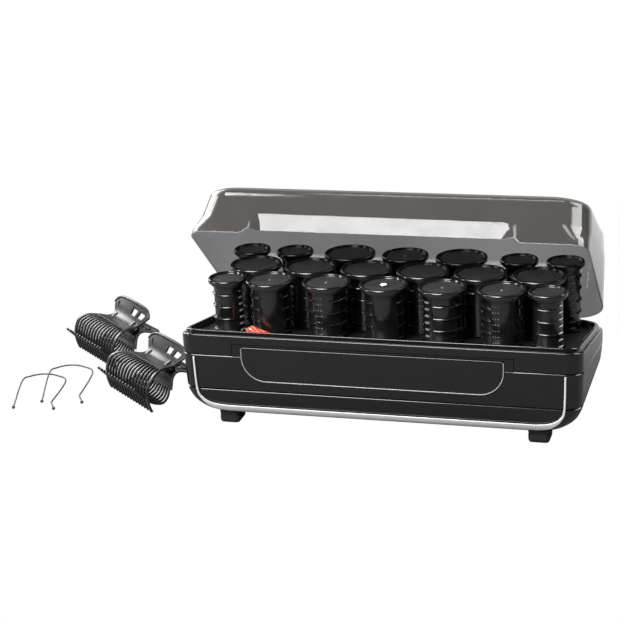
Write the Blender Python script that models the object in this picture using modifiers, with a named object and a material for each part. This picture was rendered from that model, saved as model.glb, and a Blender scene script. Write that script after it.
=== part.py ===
"""Heated roller set: a heating base with twenty rollers under a smoked lid,
with two claw clips and two wire pins laid beside it.  Metres, +Z up."""
import math

import bmesh
import bpy
from mathutils import Matrix, Vector

MM = 0.001
GAP = 0.3                       # running gap between neighbouring pieces, mm

# Driving dimensions, mm.  The base is worked out about its own centre.
BASE_AT = (72.0236, -16.1309)         # where the base stands in the whole set
HALF_WIDTH = 133.0
FRONT = -62.0
REAR = 60.0
RIM_FRONT_Z = 68.5
RIM_TILT = math.radians(11.0)   # the rim falls towards the rear
CORNER_FRONT = 11.0
CORNER_REAR = 25.0
PAN_BOTTOM_Z = 9.0
SEAM_Z = 27.0                   # pan to housing
PARTING_Z = 51.5                # housing to bezel, at the front
PARTING_FALL = 0.143            # how fast that line falls towards the rear
WALL = 2.5
SHOULDER = 2.2                  # ledge that the lid closes on
LIP = 3.0
DECK_DROP = 4.5
DECK_THICK = 2.0

# How far the walls draw in with height: (z, (sides, front, rear)).
SIDE_CURVE = [(PAN_BOTTOM_Z, (21.0, 7.5, 13.0)), (11.5, (14.0, 4.6, 8.5)), (15.5, (7.5, 2.6, 5.0)),
              (20.0, (3.6, 1.4, 2.6)), (SEAM_Z, (1.0, 0.5, 1.0)), (PARTING_Z, (0.0, 0.0, 0.0))]

PANEL_X = -3.0
PANEL_HALF = 87.0
PANEL_TOP_Z = 59.5
PANEL_LOW_Z = 34.5
TAB_HALF = 93.0

LID_TOP_Z = 101.0
LID_WALL = 2.0
LID_EDGE_WALL = 1.4             # thinner at the rim, to pass outside the bezel's shoulder
LID_BAND = 4.5                  # the walls rise straight from the rim this far
LID_CORNERS = (20.0, 22.0)
LID_OPEN = math.radians(31.0)
LID_LEAN = 11.5                 # how far the front wall leans back
GRIP_X = -3.0
GRIP_HALF = 84.0
GRIP_DEEP = 3.8                 # at the rim; the leaning front wall takes it up
GRIP_STEP = 4.0                 # over which its ends ramp up, then back
GRIP_LIFT = 3.4                 # its lower edge passes over the bezel's lip
GRIP_TOP_Z = 80.0
HINGE_BACK = 3.6                # hinge axis behind the rear wall
HINGE_XS = (-75.0, 75.0)
HINGE_PIN_R = 1.2
KNUCKLE_R = 3.0

ROLLER_TOP_Z = 95.5
ROLLER_FOOT_Z = 29.3
ROLLER_SIZES = {"small": (12.8, 9.5), "medium": (16.0, 12.5), "large": (17.6, 14.0)}
ROLLER_WALL = 2.0
ROLLER_STEPS = 16
HOLE_PLAY = 1.2
POST_PLAY = 1.0
POST_TOP_Z = 74.0
ROWS = {
    "front": (-30.4, [(-107.0, "small"), (-77.5, "medium"), (-38.75, "medium"), (0.0, "medium"),
                      (38.75, "medium"), (77.5, "medium"), (107.0, "small")]),
    "middle": (0.0, [(38.6 * (i - 2.5), "large") for i in range(6)]),
    "back": (31.6, [(-109.1, "small"), (-78.1, "small"), (-38.9, "large"), (0.0, "medium"),
                    (38.9, "large"), (78.1, "small"), (109.1, "small")]),
}

PLATE_LOW_Z = 26.6
PLATE_TOP_Z = 29.0
SWITCH_AT = (-81.0, -49.9)
FOOT_SIZE = (14.0, 16.0)
FOOT_XS = (-104.0, 104.0)
FOOT_YS = (-46.0, 38.0)
SCREW_XS = (-84.0, 84.0)
SCREW_YS = (-40.0, 30.0)
INLET_X = 96.0
INLET_Z = 18.0

CLIPS = {"clip_1": (-239.8, 44.9), "clip_2": (-185.8, -26.5)}
CLIP_TURN = math.radians(-41.0)
CLIP_HALF = 31.0
TINES = 15
# The two pins lie flat, the second one leaning on the first: (shift x, shift y, rise at its arch).
PINS = {"wire_pin_1": (0.0, 0.0, 0.0), "wire_pin_2": (15.5, 13.5, 2.6)}
PIN_ROUTE = [(-262.0, -54.5), (-276.5, -8.0), (-274.5, 2.0), (-266.0, 7.8), (-254.8, 6.0),
             (-244.6, -3.6), (-239.0, -42.0), (-233.0, -51.8)]


def rimZ(y, below=0.0):
    return RIM_FRONT_Z - (y - FRONT) * math.tan(RIM_TILT) - below


def partingZ(y):
    return PARTING_Z - (y - FRONT) * PARTING_FALL


def clearScene():
    for thing in list(bpy.data.objects):
        bpy.data.objects.remove(thing, do_unlink=True)


def newCollection(name):
    made = bpy.data.collections.new(name)
    bpy.context.scene.collection.children.link(made)
    return made


def material(name, colour, roughness, metallic=0.0, alpha=1.0):
    made = bpy.data.materials.new(name)
    made.use_nodes = True
    shader = made.node_tree.nodes["Principled BSDF"]
    shader.inputs["Base Color"].default_value = (*colour, 1.0)
    shader.inputs["Roughness"].default_value = roughness
    shader.inputs["Metallic"].default_value = metallic
    shader.inputs["Alpha"].default_value = alpha
    return made


def place(x, y, z=0.0):
    """Base millimetres to world metres."""
    return Vector(((x + BASE_AT[0]) * MM, (y + BASE_AT[1]) * MM, z * MM))


def addObject(name, bm, finish, group):
    bmesh.ops.recalc_face_normals(bm, faces=bm.faces)
    mesh = bpy.data.meshes.new(name)
    bm.to_mesh(mesh)
    bm.free()
    thing = bpy.data.objects.new(name, mesh)
    group.objects.link(thing)
    if finish:
        mesh.materials.append(finish)
    if group is CUTTERS:
        thing.hide_render = True
        thing.display_type = "WIRE"
    return thing


def boxMesh(bm, low, high):
    """A box between two corners given in base millimetres."""
    made = bmesh.ops.create_cube(bm, size=1.0)
    size = [(b - a) * MM for a, b in zip(low, high)]
    middle = place(*[(a + b) / 2 for a, b in zip(low, high)])
    bmesh.ops.scale(bm, vec=size, verts=made["verts"])
    bmesh.ops.translate(bm, vec=middle, verts=made["verts"])
    return made["verts"]


def rodMesh(bm, centre, radius, length, axis="Z", steps=16):
    """A solid rod about a centre given in base millimetres."""
    made = bmesh.ops.create_cone(bm, cap_ends=True, segments=steps, depth=length * MM,
                                 radius1=radius * MM, radius2=radius * MM)
    turn = {"X": Matrix.Rotation(math.pi / 2, 4, "Y"), "Y": Matrix.Rotation(math.pi / 2, 4, "X"),
            "Z": Matrix.Identity(4)}[axis]
    bmesh.ops.transform(bm, matrix=Matrix.Translation(place(*centre)) @ turn, verts=made["verts"])
    return made["verts"]


def box(name, low, high, finish, group=None, bevel=0.0):
    bm = bmesh.new()
    boxMesh(bm, low, high)
    if bevel:
        bmesh.ops.bevel(bm, geom=bm.edges[:], offset=bevel * MM, segments=1, profile=0.5,
                        affect="EDGES", material=-1)
    return addObject(name, bm, finish, group or PARTS)


def rod(name, centre, radius, length, finish, axis="Z", steps=16, group=None):
    bm = bmesh.new()
    rodMesh(bm, centre, radius, length, axis, steps)
    return addObject(name, bm, finish, group or PARTS)


def cut(thing, cutter, operation="DIFFERENCE"):
    change = thing.modifiers.new(cutter.name, "BOOLEAN")
    change.operation = operation
    change.object = cutter
    change.solver = "EXACT"


def ring(half, front, rear, cornerFront, cornerRear, zAt, stations=(), steps=4):
    """One level of a rounded rectangle, counter-clockwise, starting on the front side.

    stations are extra points on the straight front, as (x, how far it is set back, how far it is raised)."""
    points = [(x, front + back, lift) for x, back, lift in stations]
    corners = [(half - cornerFront, front + cornerFront, cornerFront, -90),
               (half - cornerRear, rear - cornerRear, cornerRear, 0),
               (-half + cornerRear, rear - cornerRear, cornerRear, 90),
               (-half + cornerFront, front + cornerFront, cornerFront, 180)]
    for cx, cy, radius, start in corners:
        for i in range(steps + 1):
            a = math.radians(start + 90 * i / steps)
            points.append((cx + radius * math.cos(a), cy + radius * math.sin(a), 0.0))
    return [place(x, y, (zAt(y) if callable(zAt) else zAt) + lift) for x, y, lift in points]


def loft(rings, closed=False):
    """Skins between levels of equal count; closed joins the last level to the first."""
    bm = bmesh.new()
    levels = [[bm.verts.new(p) for p in level] for level in rings]
    pairs = list(zip(levels, levels[1:]))
    if closed:
        pairs.append((levels[-1], levels[0]))
    for low, high in pairs:
        for i in range(len(low)):
            j = (i + 1) % len(low)
            bm.faces.new((low[i], low[j], high[j], high[i]))
    if not closed:
        bm.faces.new(levels[0])
        bm.faces.new(levels[-1])
    return bm


def baseRing(inset, z):
    """The base's outline, inset all round, or by its own amount at side, front and rear."""
    side, front, rear = inset if isinstance(inset, (tuple, list)) else (inset, inset, inset)
    shrink = min(side, front, rear) * 0.6
    return ring(HALF_WIDTH - side, FRONT + front, REAR - rear,
                CORNER_FRONT - shrink * 0.5, CORNER_REAR - shrink, z)



def bottomPan():
    curve = SIDE_CURVE[:-1]
    outer = [baseRing(sides, z) for z, sides in curve]
    inner = [baseRing([s + WALL for s in sides], max(z, PAN_BOTTOM_Z + WALL))
             for z, sides in reversed(curve[1:])]
    pan = addObject("bottom_pan", loft(outer + inner), BLACK, PARTS)
    bossLow, bossTop = PAN_BOTTOM_Z + 1.0, PLATE_LOW_Z - GAP
    for i, (x, y) in enumerate(screwPlaces()):
        boss = rod("pan_boss_%d" % i, (x, y, (bossLow + bossTop) / 2), 4.0, bossTop - bossLow,
                   None, steps=10, group=CUTTERS)
        cut(pan, boss, "UNION")
        cut(pan, rod("pan_hole_%d" % i, (x, y, 15.0), 1.8, 30.0, None, steps=10, group=CUTTERS))
    cut(pan, rod("inlet_hole", (INLET_X, REAR, INLET_Z), 4.8, 20.0, None, "Y", 14, CUTTERS))


def screwPlaces():
    return [(x, y) for x in SCREW_XS for y in SCREW_YS]


def caseScrews():
    for i, (x, y) in enumerate(screwPlaces()):
        bm = bmesh.new()
        headLow, headTop, tip = PAN_BOTTOM_Z - 2.2, PAN_BOTTOM_Z - GAP, 24.0
        rodMesh(bm, (x, y, (headLow + headTop) / 2), 3.0, headTop - headLow, steps=10)
        screw = addObject("case_screw_%d" % (i + 1), bm, STEEL, PARTS)
        shank = rod("screw_shank_%d" % i, (x, y, (headLow + 1 + tip) / 2), 1.4, tip - headLow - 1,
                    None, steps=8, group=CUTTERS)
        cut(screw, shank, "UNION")


def housing():
    low, high = SEAM_Z + GAP, lambda y: partingZ(y) - GAP
    shell = addObject("housing", loft([
        baseRing((1.0, 0.5, 1.0), low), baseRing(0.0, high), baseRing(WALL, high),
        baseRing(WALL + 1.0, low)], closed=True), BLACK, PARTS)
    tab = box("housing_tab", (PANEL_X - TAB_HALF, FRONT, 47.0),
              (PANEL_X + TAB_HALF, FRONT + WALL, PANEL_TOP_Z), None, CUTTERS)
    cut(shell, tab, "UNION")
    cut(shell, panelPlate("panel_pocket", GAP, FRONT - 1.0, FRONT + 1.5, None, CUTTERS))


def panelOutline(grow):
    """A shield with a straight top, upright sides and large lower corners."""
    half, low, top, radius = PANEL_HALF + grow, PANEL_LOW_Z - grow, PANEL_TOP_Z - 1.6 + grow, 16.0
    left, steps = PANEL_X - half, 5
    points = [(left, top)]
    for i in range(steps + 1):
        a = math.pi + math.pi / 2 * i / steps
        points.append((left + radius + radius * math.cos(a), low + radius + radius * math.sin(a)))
    return points + [(2 * PANEL_X - x, z) for x, z in reversed(points)]


def panelPlate(name, grow, yFront, yBack, finish, group):
    bm = bmesh.new()
    face = bm.faces.new([bm.verts.new(place(x, yFront, z)) for x, z in panelOutline(grow)])
    pushed = bmesh.ops.extrude_face_region(bm, geom=[face])
    moved = [v for v in pushed["geom"] if isinstance(v, bmesh.types.BMVert)]
    bmesh.ops.translate(bm, vec=(0, (yBack - yFront) * MM, 0), verts=moved)
    return addObject(name, bm, finish, group)


def upperBezel():
    """The rim with the shoulder that the lid closes on and the ledge that holds the deck."""
    shelf = DECK_DROP + DECK_THICK + GAP
    levels = [(0.0, partingZ), (0.0, lambda y: rimZ(y, LIP)), (SHOULDER, lambda y: rimZ(y, LIP)),
              (SHOULDER + 0.4, lambda y: rimZ(y, 0.6)), (SHOULDER + 1.0, rimZ),
              (SHOULDER + 2.4, rimZ), (SHOULDER + 2.8, lambda y: rimZ(y, shelf)),
              (SHOULDER + 6.0, lambda y: rimZ(y, shelf)), (SHOULDER + 6.0, lambda y: rimZ(y, shelf + 2.0)),
              (WALL, lambda y: rimZ(y, shelf + 2.0)), (WALL, partingZ)]
    shell = addObject("upper_bezel", loft([baseRing(s, z) for s, z in levels], closed=True), BLACK, PARTS)
    cut(shell, box("bezel_gate", (PANEL_X - TAB_HALF - GAP, FRONT - 2, 40.0),
                   (PANEL_X + TAB_HALF + GAP, FRONT + WALL + GAP, PANEL_TOP_Z + GAP), None, CUTTERS))
    axisY, axisZ = hingeAxis()
    for x in HINGE_XS:
        for side in (-1, 1):
            middle = x + side * 8.0
            web = box("bezel_web_%d_%d" % (x, side), (middle - 4, REAR - 1.5, axisZ - 7.0),
                      (middle + 4, axisY, axisZ - 1.0), None, CUTTERS)
            cut(shell, web, "UNION")
            eye = rod("bezel_eye_%d_%d" % (x, side), (middle, axisY, axisZ), KNUCKLE_R, 8.0,
                      None, "X", 12, CUTTERS)
            cut(shell, eye, "UNION")
        cut(shell, rod("bezel_bore_%d" % x, (x, axisY, axisZ), BORE_R, 30.0, None, "X", 10, CUTTERS))


def hingeAxis():
    return REAR + HINGE_BACK, rimZ(REAR, LIP) + 0.5


def hingePins():
    axisY, axisZ = hingeAxis()
    for x, side in zip(HINGE_XS, ("left", "right")):
        rod("hinge_pin_" + side, (x, axisY, axisZ), HINGE_PIN_R, 25.0, STEEL, "X", 10)


def frontY(z):
    """The front face's place at a height, read off the side curve."""
    for (z0, low), (z1, high) in zip(SIDE_CURVE, SIDE_CURVE[1:]):
        if z <= z1:
            return FRONT + low[1] + (high[1] - low[1]) * (z - z0) / (z1 - z0)
    return FRONT


def trimBand():
    """A flat strip along the front's lower edge, turned up thin at both ends."""
    spine = [(-123.4, 50.0, 1.2), (-122.6, SEAM_Z, 1.3), (-120.2, 20.0, 2.0), (-116.4, 15.5, 3.2),
             (-111.0, 12.2, 4.4), (-103.0, 10.8, 4.8)]
    spine += [(-x, z, w) for x, z, w in reversed(spine)]
    rings = []
    for i, (x, z, wide) in enumerate(spine):
        before, after = spine[max(i - 1, 0)], spine[min(i + 1, len(spine) - 1)]
        way = Vector((after[0] - before[0], after[1] - before[1])).normalized()
        across = [(x - way.y * wide * t, z + way.x * wide * t) for t in (0.0, 0.33, 0.67, 1.0)]
        rings.append([place(px, frontY(pz) - GAP - 1.1, pz) for px, pz in across]
                     + [place(px, frontY(pz) - GAP - 0.1, pz) for px, pz in reversed(across)])
    addObject("trim_band", loft(rings), SILVER, PARTS)


def feet():
    names = {(-1, -1): "foot_front_left", (1, -1): "foot_front_right",
             (-1, 1): "foot_rear_left", (1, 1): "foot_rear_right"}
    for (sx, sy), name in names.items():
        x, y = FOOT_XS[sx > 0], FOOT_YS[sy > 0]
        box(name, (x - FOOT_SIZE[0] / 2, y - FOOT_SIZE[1] / 2, 0.0),
            (x + FOOT_SIZE[0] / 2, y + FOOT_SIZE[1] / 2, PAN_BOTTOM_Z - GAP), RUBBER)


def rollerPlaces():
    for row, (y, places) in ROWS.items():
        for i, (x, size) in enumerate(places):
            yield "roller_%s_%d" % (row, i + 1), x, y, size


def rollerDeck():
    inset = SHOULDER + 2.8 + GAP
    deck = addObject("roller_deck", loft([
        baseRing(inset, lambda y: rimZ(y, DECK_DROP + DECK_THICK)),
        baseRing(inset, lambda y: rimZ(y, DECK_DROP))]), BLACK, PARTS)
    holes = bmesh.new()
    for name, x, y, size in rollerPlaces():
        rodMesh(holes, (x, y, 55.0), ROLLER_SIZES[size][1] + HOLE_PLAY, 60.0, steps=16)
    cut(deck, addObject("deck_holes", holes, None, CUTTERS))
    x, y = SWITCH_AT
    cut(deck, box("switch_opening", (x - 8.3, y - 4.0, 50), (x + 8.3, y + 4.0, 80), None, CUTTERS))


def heaterPlate():
    inset = 12.0
    plate = addObject("heater_plate", loft([
        baseRing(inset, PLATE_LOW_Z), baseRing(inset, PLATE_TOP_Z)]), ALUMINIUM, PARTS)
    for name, x, y, size in rollerPlaces():
        radius = ROLLER_SIZES[size][1] - ROLLER_WALL - POST_PLAY
        low = PLATE_TOP_Z - 1.0
        post = rod("post_" + name, (x, y, (low + POST_TOP_Z) / 2), radius, POST_TOP_Z - low,
                   None, steps=12, group=CUTTERS)
        cut(plate, post, "UNION")


def heaterParts():
    bm = bmesh.new()
    boxMesh(bm, (-96.0, -8.0, 21.0), (96.0, 8.0, PLATE_LOW_Z - GAP))
    addObject("heating_element", bm, MICA, PARTS)
    rod("thermostat", (40.0, 26.0, 22.6), 7.5, 7.2, STEEL, steps=16)
    rod("thermal_fuse", (-40.0, 24.0, 24.2), 2.0, 16.0, STEEL, "X", 10)
    box("terminal_block", (78.0, -4.0 + 16, 12.0), (96.0, 26.0, 20.5), IVORY, bevel=0.8)


def switchParts():
    x, y = SWITCH_AT
    z = rimZ(y, DECK_DROP)
    box("switch_body", (x - 7.5, y - 3.2, z - 18.0), (x + 7.5, y + 3.2, z - 1.6), BLACK)
    rings = []
    for dx, low, rise in ((-7.4, 0.6, 5.8), (-3.5, -0.4, 6.2), (0.0, -1.2, 4.6), (3.5, -0.4, 3.6),
                          (7.4, 0.6, 2.2)):
        rings.append([place(x + dx, y - 3.2, z + low), place(x + dx, y + 3.2, z + low),
                      place(x + dx, y + 2.8, z + rise), place(x + dx, y - 2.8, z + rise)])
    addObject("switch_rocker", loft(rings), RED, PARTS)


def cordInlet():
    bm = bmesh.new()
    rodMesh(bm, (INLET_X, REAR - 2.0, INLET_Z), 4.4, 12.0, "Y", 14)
    inlet = addObject("cord_inlet", bm, RUBBER, PARTS)
    cut(inlet, rod("inlet_flange", (INLET_X, REAR + 2.0, INLET_Z), 6.5, 3.0, None, "Y", 14, CUTTERS), "UNION")
    cut(inlet, rod("inlet_bore", (INLET_X, REAR, INLET_Z), 3.0, 40.0, None, "Y", 12, CUTTERS))


def lidRing(side, front, rear, z, grip, lift=0.0):
    """A level of the lid; grip sets the middle of the front wall back, and lift raises it clear of the lip."""
    half, step = GRIP_HALF, GRIP_STEP
    stations = [(GRIP_X - half - 2 * step, 0.0, 0.0), (GRIP_X - half - step, 0.0, lift),
                (GRIP_X - half, grip, lift), (GRIP_X + half, grip, lift),
                (GRIP_X + half + step, 0.0, lift), (GRIP_X + half + 2 * step, 0.0, 0.0)]
    # the rim follows the bezel's corners, and the walls above it are rounder
    corners = LID_CORNERS
    if callable(z):
        corners = CORNER_FRONT - side + GAP, CORNER_REAR - side + GAP
    return ring(HALF_WIDTH - side, FRONT + front, REAR - rear, *corners, z, stations)


def lid():
    def rim(y):
        return rimZ(y, LIP) + GAP
    lean = LID_LEAN / (LID_TOP_Z - 7 - rimZ(FRONT, LIP))
    def frontAt(z):
        return lean * (z - rimZ(FRONT, LIP))
    def band(y):
        return rim(y) + LID_BAND
    outer = [(GAP, GAP, GAP, rim, GRIP_DEEP, GRIP_LIFT), (GAP, GAP, GAP, band, GRIP_DEEP, GRIP_LIFT),
             (1.8, frontAt(GRIP_TOP_Z), 1.6, GRIP_TOP_Z, 0.0),
             (3.4, frontAt(LID_TOP_Z - 7), 3.2, LID_TOP_Z - 7, 0.0),
             (5.4, frontAt(LID_TOP_Z - 7) + 2.4, 5.2, LID_TOP_Z - 2.4, 0.0),
             (11.0, frontAt(LID_TOP_Z - 7) + 8.0, 10.6, LID_TOP_Z, 0.0)]
    inner = []
    for level in outer:
        z = level[3]
        wall = LID_EDGE_WALL if callable(z) else LID_WALL
        inner.append((*[inset + wall for inset in level[:3]], z if callable(z) else min(z, LID_TOP_Z - LID_WALL),
                      *level[4:]))
    inner[-2] = (*inner[-2][:3], LID_TOP_Z - 3.6, 0.0)
    rings = [lidRing(*level) for level in reversed(outer)] + [lidRing(*level) for level in inner]
    cover = addObject("lid", loft(rings), SMOKED, PARTS)
    axisY, axisZ = hingeAxis()
    for x in HINGE_XS:
        web = box("lid_web_%d" % x, (x - 3.6, REAR - 2.2, axisZ + 1.0), (x + 3.6, axisY, axisZ + 6.0),
                  None, CUTTERS)
        cut(cover, web, "UNION")
        eye = rod("lid_eye_%d" % x, (x, axisY, axisZ), KNUCKLE_R, 7.2, None, "X", 12, CUTTERS)
        cut(cover, eye, "UNION")
        cut(cover, rod("lid_bore_%d" % x, (x, axisY, axisZ), BORE_R, 30.0, None, "X", 10, CUTTERS))
    hinge = place(0.0, axisY, axisZ)
    swing = (Matrix.Translation(hinge) @ Matrix.Rotation(-LID_OPEN, 4, "X")
             @ Matrix.Translation(-hinge))
    for thing in list(CUTTERS.objects) + [cover]:
        if thing is cover or thing.name.startswith("lid_"):
            thing.data.transform(swing)
            thing.data.transform(Matrix.Translation(-hinge))
            thing.location = hinge


def rollers():
    for name, x, y, size in rollerPlaces():
        flange, barrel = ROLLER_SIZES[size]
        high = ROLLER_TOP_Z - ROLLER_FOOT_Z
        bore = barrel - ROLLER_WALL
        profile = [(0.0, high - 1.4), (flange - 2.4, high - 1.4), (flange - 2.0, high), (flange, high - 0.5),
                   (flange, high - 3.2), (barrel + 0.8, high - 4.2), (barrel, high - 6.0), (barrel, 0.0),
                   (bore, 0.0), (bore, high - 8.0), (0.0, high - 8.0)]
        mesh = bpy.data.meshes.new(name)
        mesh.from_pydata([(r * MM, 0.0, z * MM) for r, z in profile],
                         [(i, i + 1) for i in range(len(profile) - 1)], [])
        mesh.materials.append(BLACK)
        roller = bpy.data.objects.new(name, mesh)
        roller.location = place(x, y, ROLLER_FOOT_Z)
        PARTS.objects.link(roller)
        turn = roller.modifiers.new("turn", "SCREW")
        turn.steps = turn.render_steps = ROLLER_STEPS
        turn.use_merge_vertices = True
        turn.merge_threshold = 0.00001
        turn.use_smooth_shade = True
    x, y = 0.0, ROWS["front"][0]
    rod("ready_dot", (x, y, ROLLER_TOP_Z - 1.4 + GAP + 0.4), 3.4, 0.8, CREAM, steps=14)


# The clip's own frame: a along the floor away from the finger pads, b up, w along the hinge pin.
CLIP_AXIS = math.radians(-23.0)
CLIP_HINGE = (9.0, 21.5)
JAW = [(-14.0, 12.5), (-8.0, 8.6), (-2.5, 5.2), (2.5, 5.6), (8.0, 9.0), (14.5, 11.8), (21.0, 11.6),
       (26.5, 7.6), (30.0, 2.0)]
TIPS = {1: [(31.6, -4.0), (32.0, -9.5)], -1: [(32.4, -5.0), (34.6, -11.5)]}
JAW_HALF = [27.0, 25.5, 20.0, 19.5, 23.0, 28.0, 31.0, 31.0, 31.0, 31.0, 31.0]
SHEET_ENDS = 4                  # the comb starts here
TINE_HALF = 0.75
JAW_THICK = 1.6
LUG_AT = {1: 14.0, -1: 11.0}    # the upper jaw's ears stand outside the lower one's
EYE_R = 3.6
EYE_LONG = 2.4
CLIP_PIN_R = 1.2
CLIP_PIN_LONG = 32.0
BORE_R = 1.5                    # play round every pin
CLIP_REACH = 34.7               # from the pads' edge to the tips of the upper tines


def clipPoint(clip, t, n, w):
    """From along the clip's middle plane (t), off it (n) and along its pin (w) to the world."""
    c, s = math.cos(CLIP_AXIS), math.sin(CLIP_AXIS)
    a = CLIP_HINGE[0] + t * c - n * s
    b = CLIP_HINGE[1] + t * s + n * c
    x0, y0 = CLIPS[clip]
    along = Vector((math.cos(CLIP_TURN), math.sin(CLIP_TURN)))
    across = Vector((along.y, -along.x))
    at = Vector((x0, y0)) + along * w + across * (a - CLIP_REACH)
    return place(at.x, at.y, b)


def strip(clip, route, side, halves, middles, skin=0.0):
    """A bent strip along the route; side is 1 for the upper jaw and -1 for the lower one.

    halves and middles give its width and place along the pin; skin thins it equally from both faces."""
    rings = []
    for i, (t, n) in enumerate(route):
        before, after = route[max(i - 1, 0)], route[min(i + 1, len(route) - 1)]
        way = Vector((after[0] - before[0], after[1] - before[1])).normalized()
        inT, inN = t + way.y * (JAW_THICK - skin), n - way.x * (JAW_THICK - skin)
        t, n = t + way.y * skin, n - way.x * skin
        half, middle = halves[i], middles[i]
        rings.append([clipPoint(clip, t, side * n, middle - half), clipPoint(clip, t, side * n, middle + half),
                      clipPoint(clip, inT, side * inN, middle + half),
                      clipPoint(clip, inT, side * inN, middle - half)])
    return loft(rings)


def tineMiddles(side):
    pitch = 2 * CLIP_HALF / TINES
    count = TINES if side > 0 else TINES - 1
    return [(i - (count - 1) / 2) * pitch for i in range(count)]


def jaw(clip, name, side):
    sheet, comb = JAW[:SHEET_ENDS + 1], JAW[SHEET_ENDS - 1:] + TIPS[side]
    made = addObject(name, strip(clip, sheet, side, JAW_HALF, [0.0] * len(sheet)), SATIN, PARTS)
    for i, w in enumerate(tineMiddles(side)):
        spread = [w * half / CLIP_HALF for half in JAW_HALF[SHEET_ENDS - 1:]]   # the comb fans out
        tine = addObject("%s_tine_%d" % (name, i),
                         strip(clip, comb, side, [TINE_HALF] * len(comb), spread, 0.15), None, CUTTERS)
        cut(made, tine, "UNION")
    for end in (-1, 1):
        middle = end * LUG_AT[side]
        lug = strip(clip, [(-1.8, 4.6), (1.8, 4.6)], side, [1.3, 1.3], [middle, middle])
        cut(made, addObject("%s_lug_%d" % (name, end), lug, None, CUTTERS), "UNION")
        cut(made, clipRod("%s_eye_%d" % (name, end), clip, middle, EYE_R, EYE_LONG, 10, None, CUTTERS), "UNION")
        cut(made, clipRod("%s_bore_%d" % (name, end), clip, middle, BORE_R, 6.0, 8, None, CUTTERS))
    hinge = clipPoint(clip, 0.0, 0.0, 0.0)
    made.data.transform(Matrix.Translation(-hinge))
    made.location = hinge


def clipRod(name, clip, w, radius, length, steps, finish, group):
    bm = bmesh.new()
    made = bmesh.ops.create_cone(bm, cap_ends=True, segments=steps, depth=length * MM,
                                 radius1=radius * MM, radius2=radius * MM)
    at = clipPoint(clip, 0.0, 0.0, w)
    turn = Matrix.Rotation(CLIP_TURN, 4, "Z") @ Matrix.Rotation(math.pi / 2, 4, "Y")
    bmesh.ops.transform(bm, matrix=Matrix.Translation(at) @ turn, verts=made["verts"])
    return addObject(name, bm, finish, group)


def clipSpring(clip):
    """A torsion spring: close turns round the pin."""
    curve = bpy.data.curves.new(clip + "_spring", "CURVE")
    curve.dimensions = "3D"
    curve.bevel_depth = 0.4 * MM
    curve.bevel_resolution = 1
    curve.use_fill_caps = True
    turns, each, radius, length = 5, 9, 2.6, 12.0
    spline = curve.splines.new("POLY")
    spline.points.add(turns * each)
    for i in range(turns * each + 1):
        a = 2 * math.pi * i / each
        at = clipPoint(clip, radius * math.cos(a), radius * math.sin(a), length * (i / (turns * each) - 0.5))
        spline.points[i].co = (*at, 1.0)
    curve.materials.append(STEEL)
    PARTS.objects.link(bpy.data.objects.new(clip + "_spring", curve))


def clips():
    for clip in CLIPS:
        jaw(clip, clip + "_jaw_upper", 1)
        jaw(clip, clip + "_jaw_lower", -1)
        clipRod(clip + "_hinge_pin", clip, 0.0, CLIP_PIN_R, CLIP_PIN_LONG, 10, STEEL, PARTS)
        clipSpring(clip)


def smoothRoute(points, each):
    """Points along a Catmull-Rom curve through the given ones."""
    ends = [points[0]] + points + [points[-1]]
    out = []
    for p0, p1, p2, p3 in zip(ends, ends[1:], ends[2:], ends[3:]):
        for i in range(each):
            t = i / each
            out.append(0.5 * ((2 * p1) + (p2 - p0) * t + (2 * p0 - 5 * p1 + 4 * p2 - p3) * t * t
                              + (3 * p1 - p0 - 3 * p2 + p3) * t ** 3))
    return out + [points[-1]]


def wirePins():
    wire, ball = 0.55, 1.2
    near, far = PIN_ROUTE[0][1], max(y for x, y in PIN_ROUTE)
    for name, (dx, dy, rise) in PINS.items():
        corners = [Vector((x + dx, y + dy, ball + rise * (y - near) / (far - near))) for x, y in PIN_ROUTE]
        arch = smoothRoute(corners[1:6], 3)
        route = [corners[0]] + arch + corners[6:]
        curve = bpy.data.curves.new(name, "CURVE")
        curve.dimensions = "3D"
        curve.bevel_depth = wire * MM
        curve.bevel_resolution = 1
        curve.use_fill_caps = True
        spline = curve.splines.new("POLY")
        spline.points.add(len(route) - 1)
        for point, at in zip(spline.points, route):
            point.co = (*place(*at), 1.0)
        draft = bpy.data.objects.new(name + "_wire", curve)
        PARTS.objects.link(draft)
        bpy.context.view_layer.update()
        graph = bpy.context.evaluated_depsgraph_get()
        mesh = bpy.data.meshes.new_from_object(draft.evaluated_get(graph))
        bpy.data.objects.remove(draft)
        bm = bmesh.new()
        bm.from_mesh(mesh)
        bmesh.ops.remove_doubles(bm, verts=bm.verts, dist=0.00001)
        pin = addObject(name, bm, STEEL, PARTS)
        pin.data.materials.clear()
        pin.data.materials.append(STEEL)
        for i, at in enumerate((route[0], route[-1])):
            tip = bmesh.new()
            made = bmesh.ops.create_uvsphere(tip, u_segments=8, v_segments=6, radius=ball * MM)
            bmesh.ops.translate(tip, vec=place(*at), verts=made["verts"])
            cut(pin, addObject("%s_tip_%d" % (name, i), tip, None, CUTTERS), "UNION")


def smoothRound():
    for thing in PARTS.objects:
        if thing.type == "MESH" and thing.name.startswith(("roller_f", "roller_m", "roller_b", "wire")):
            thing.data.shade_smooth()


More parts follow.
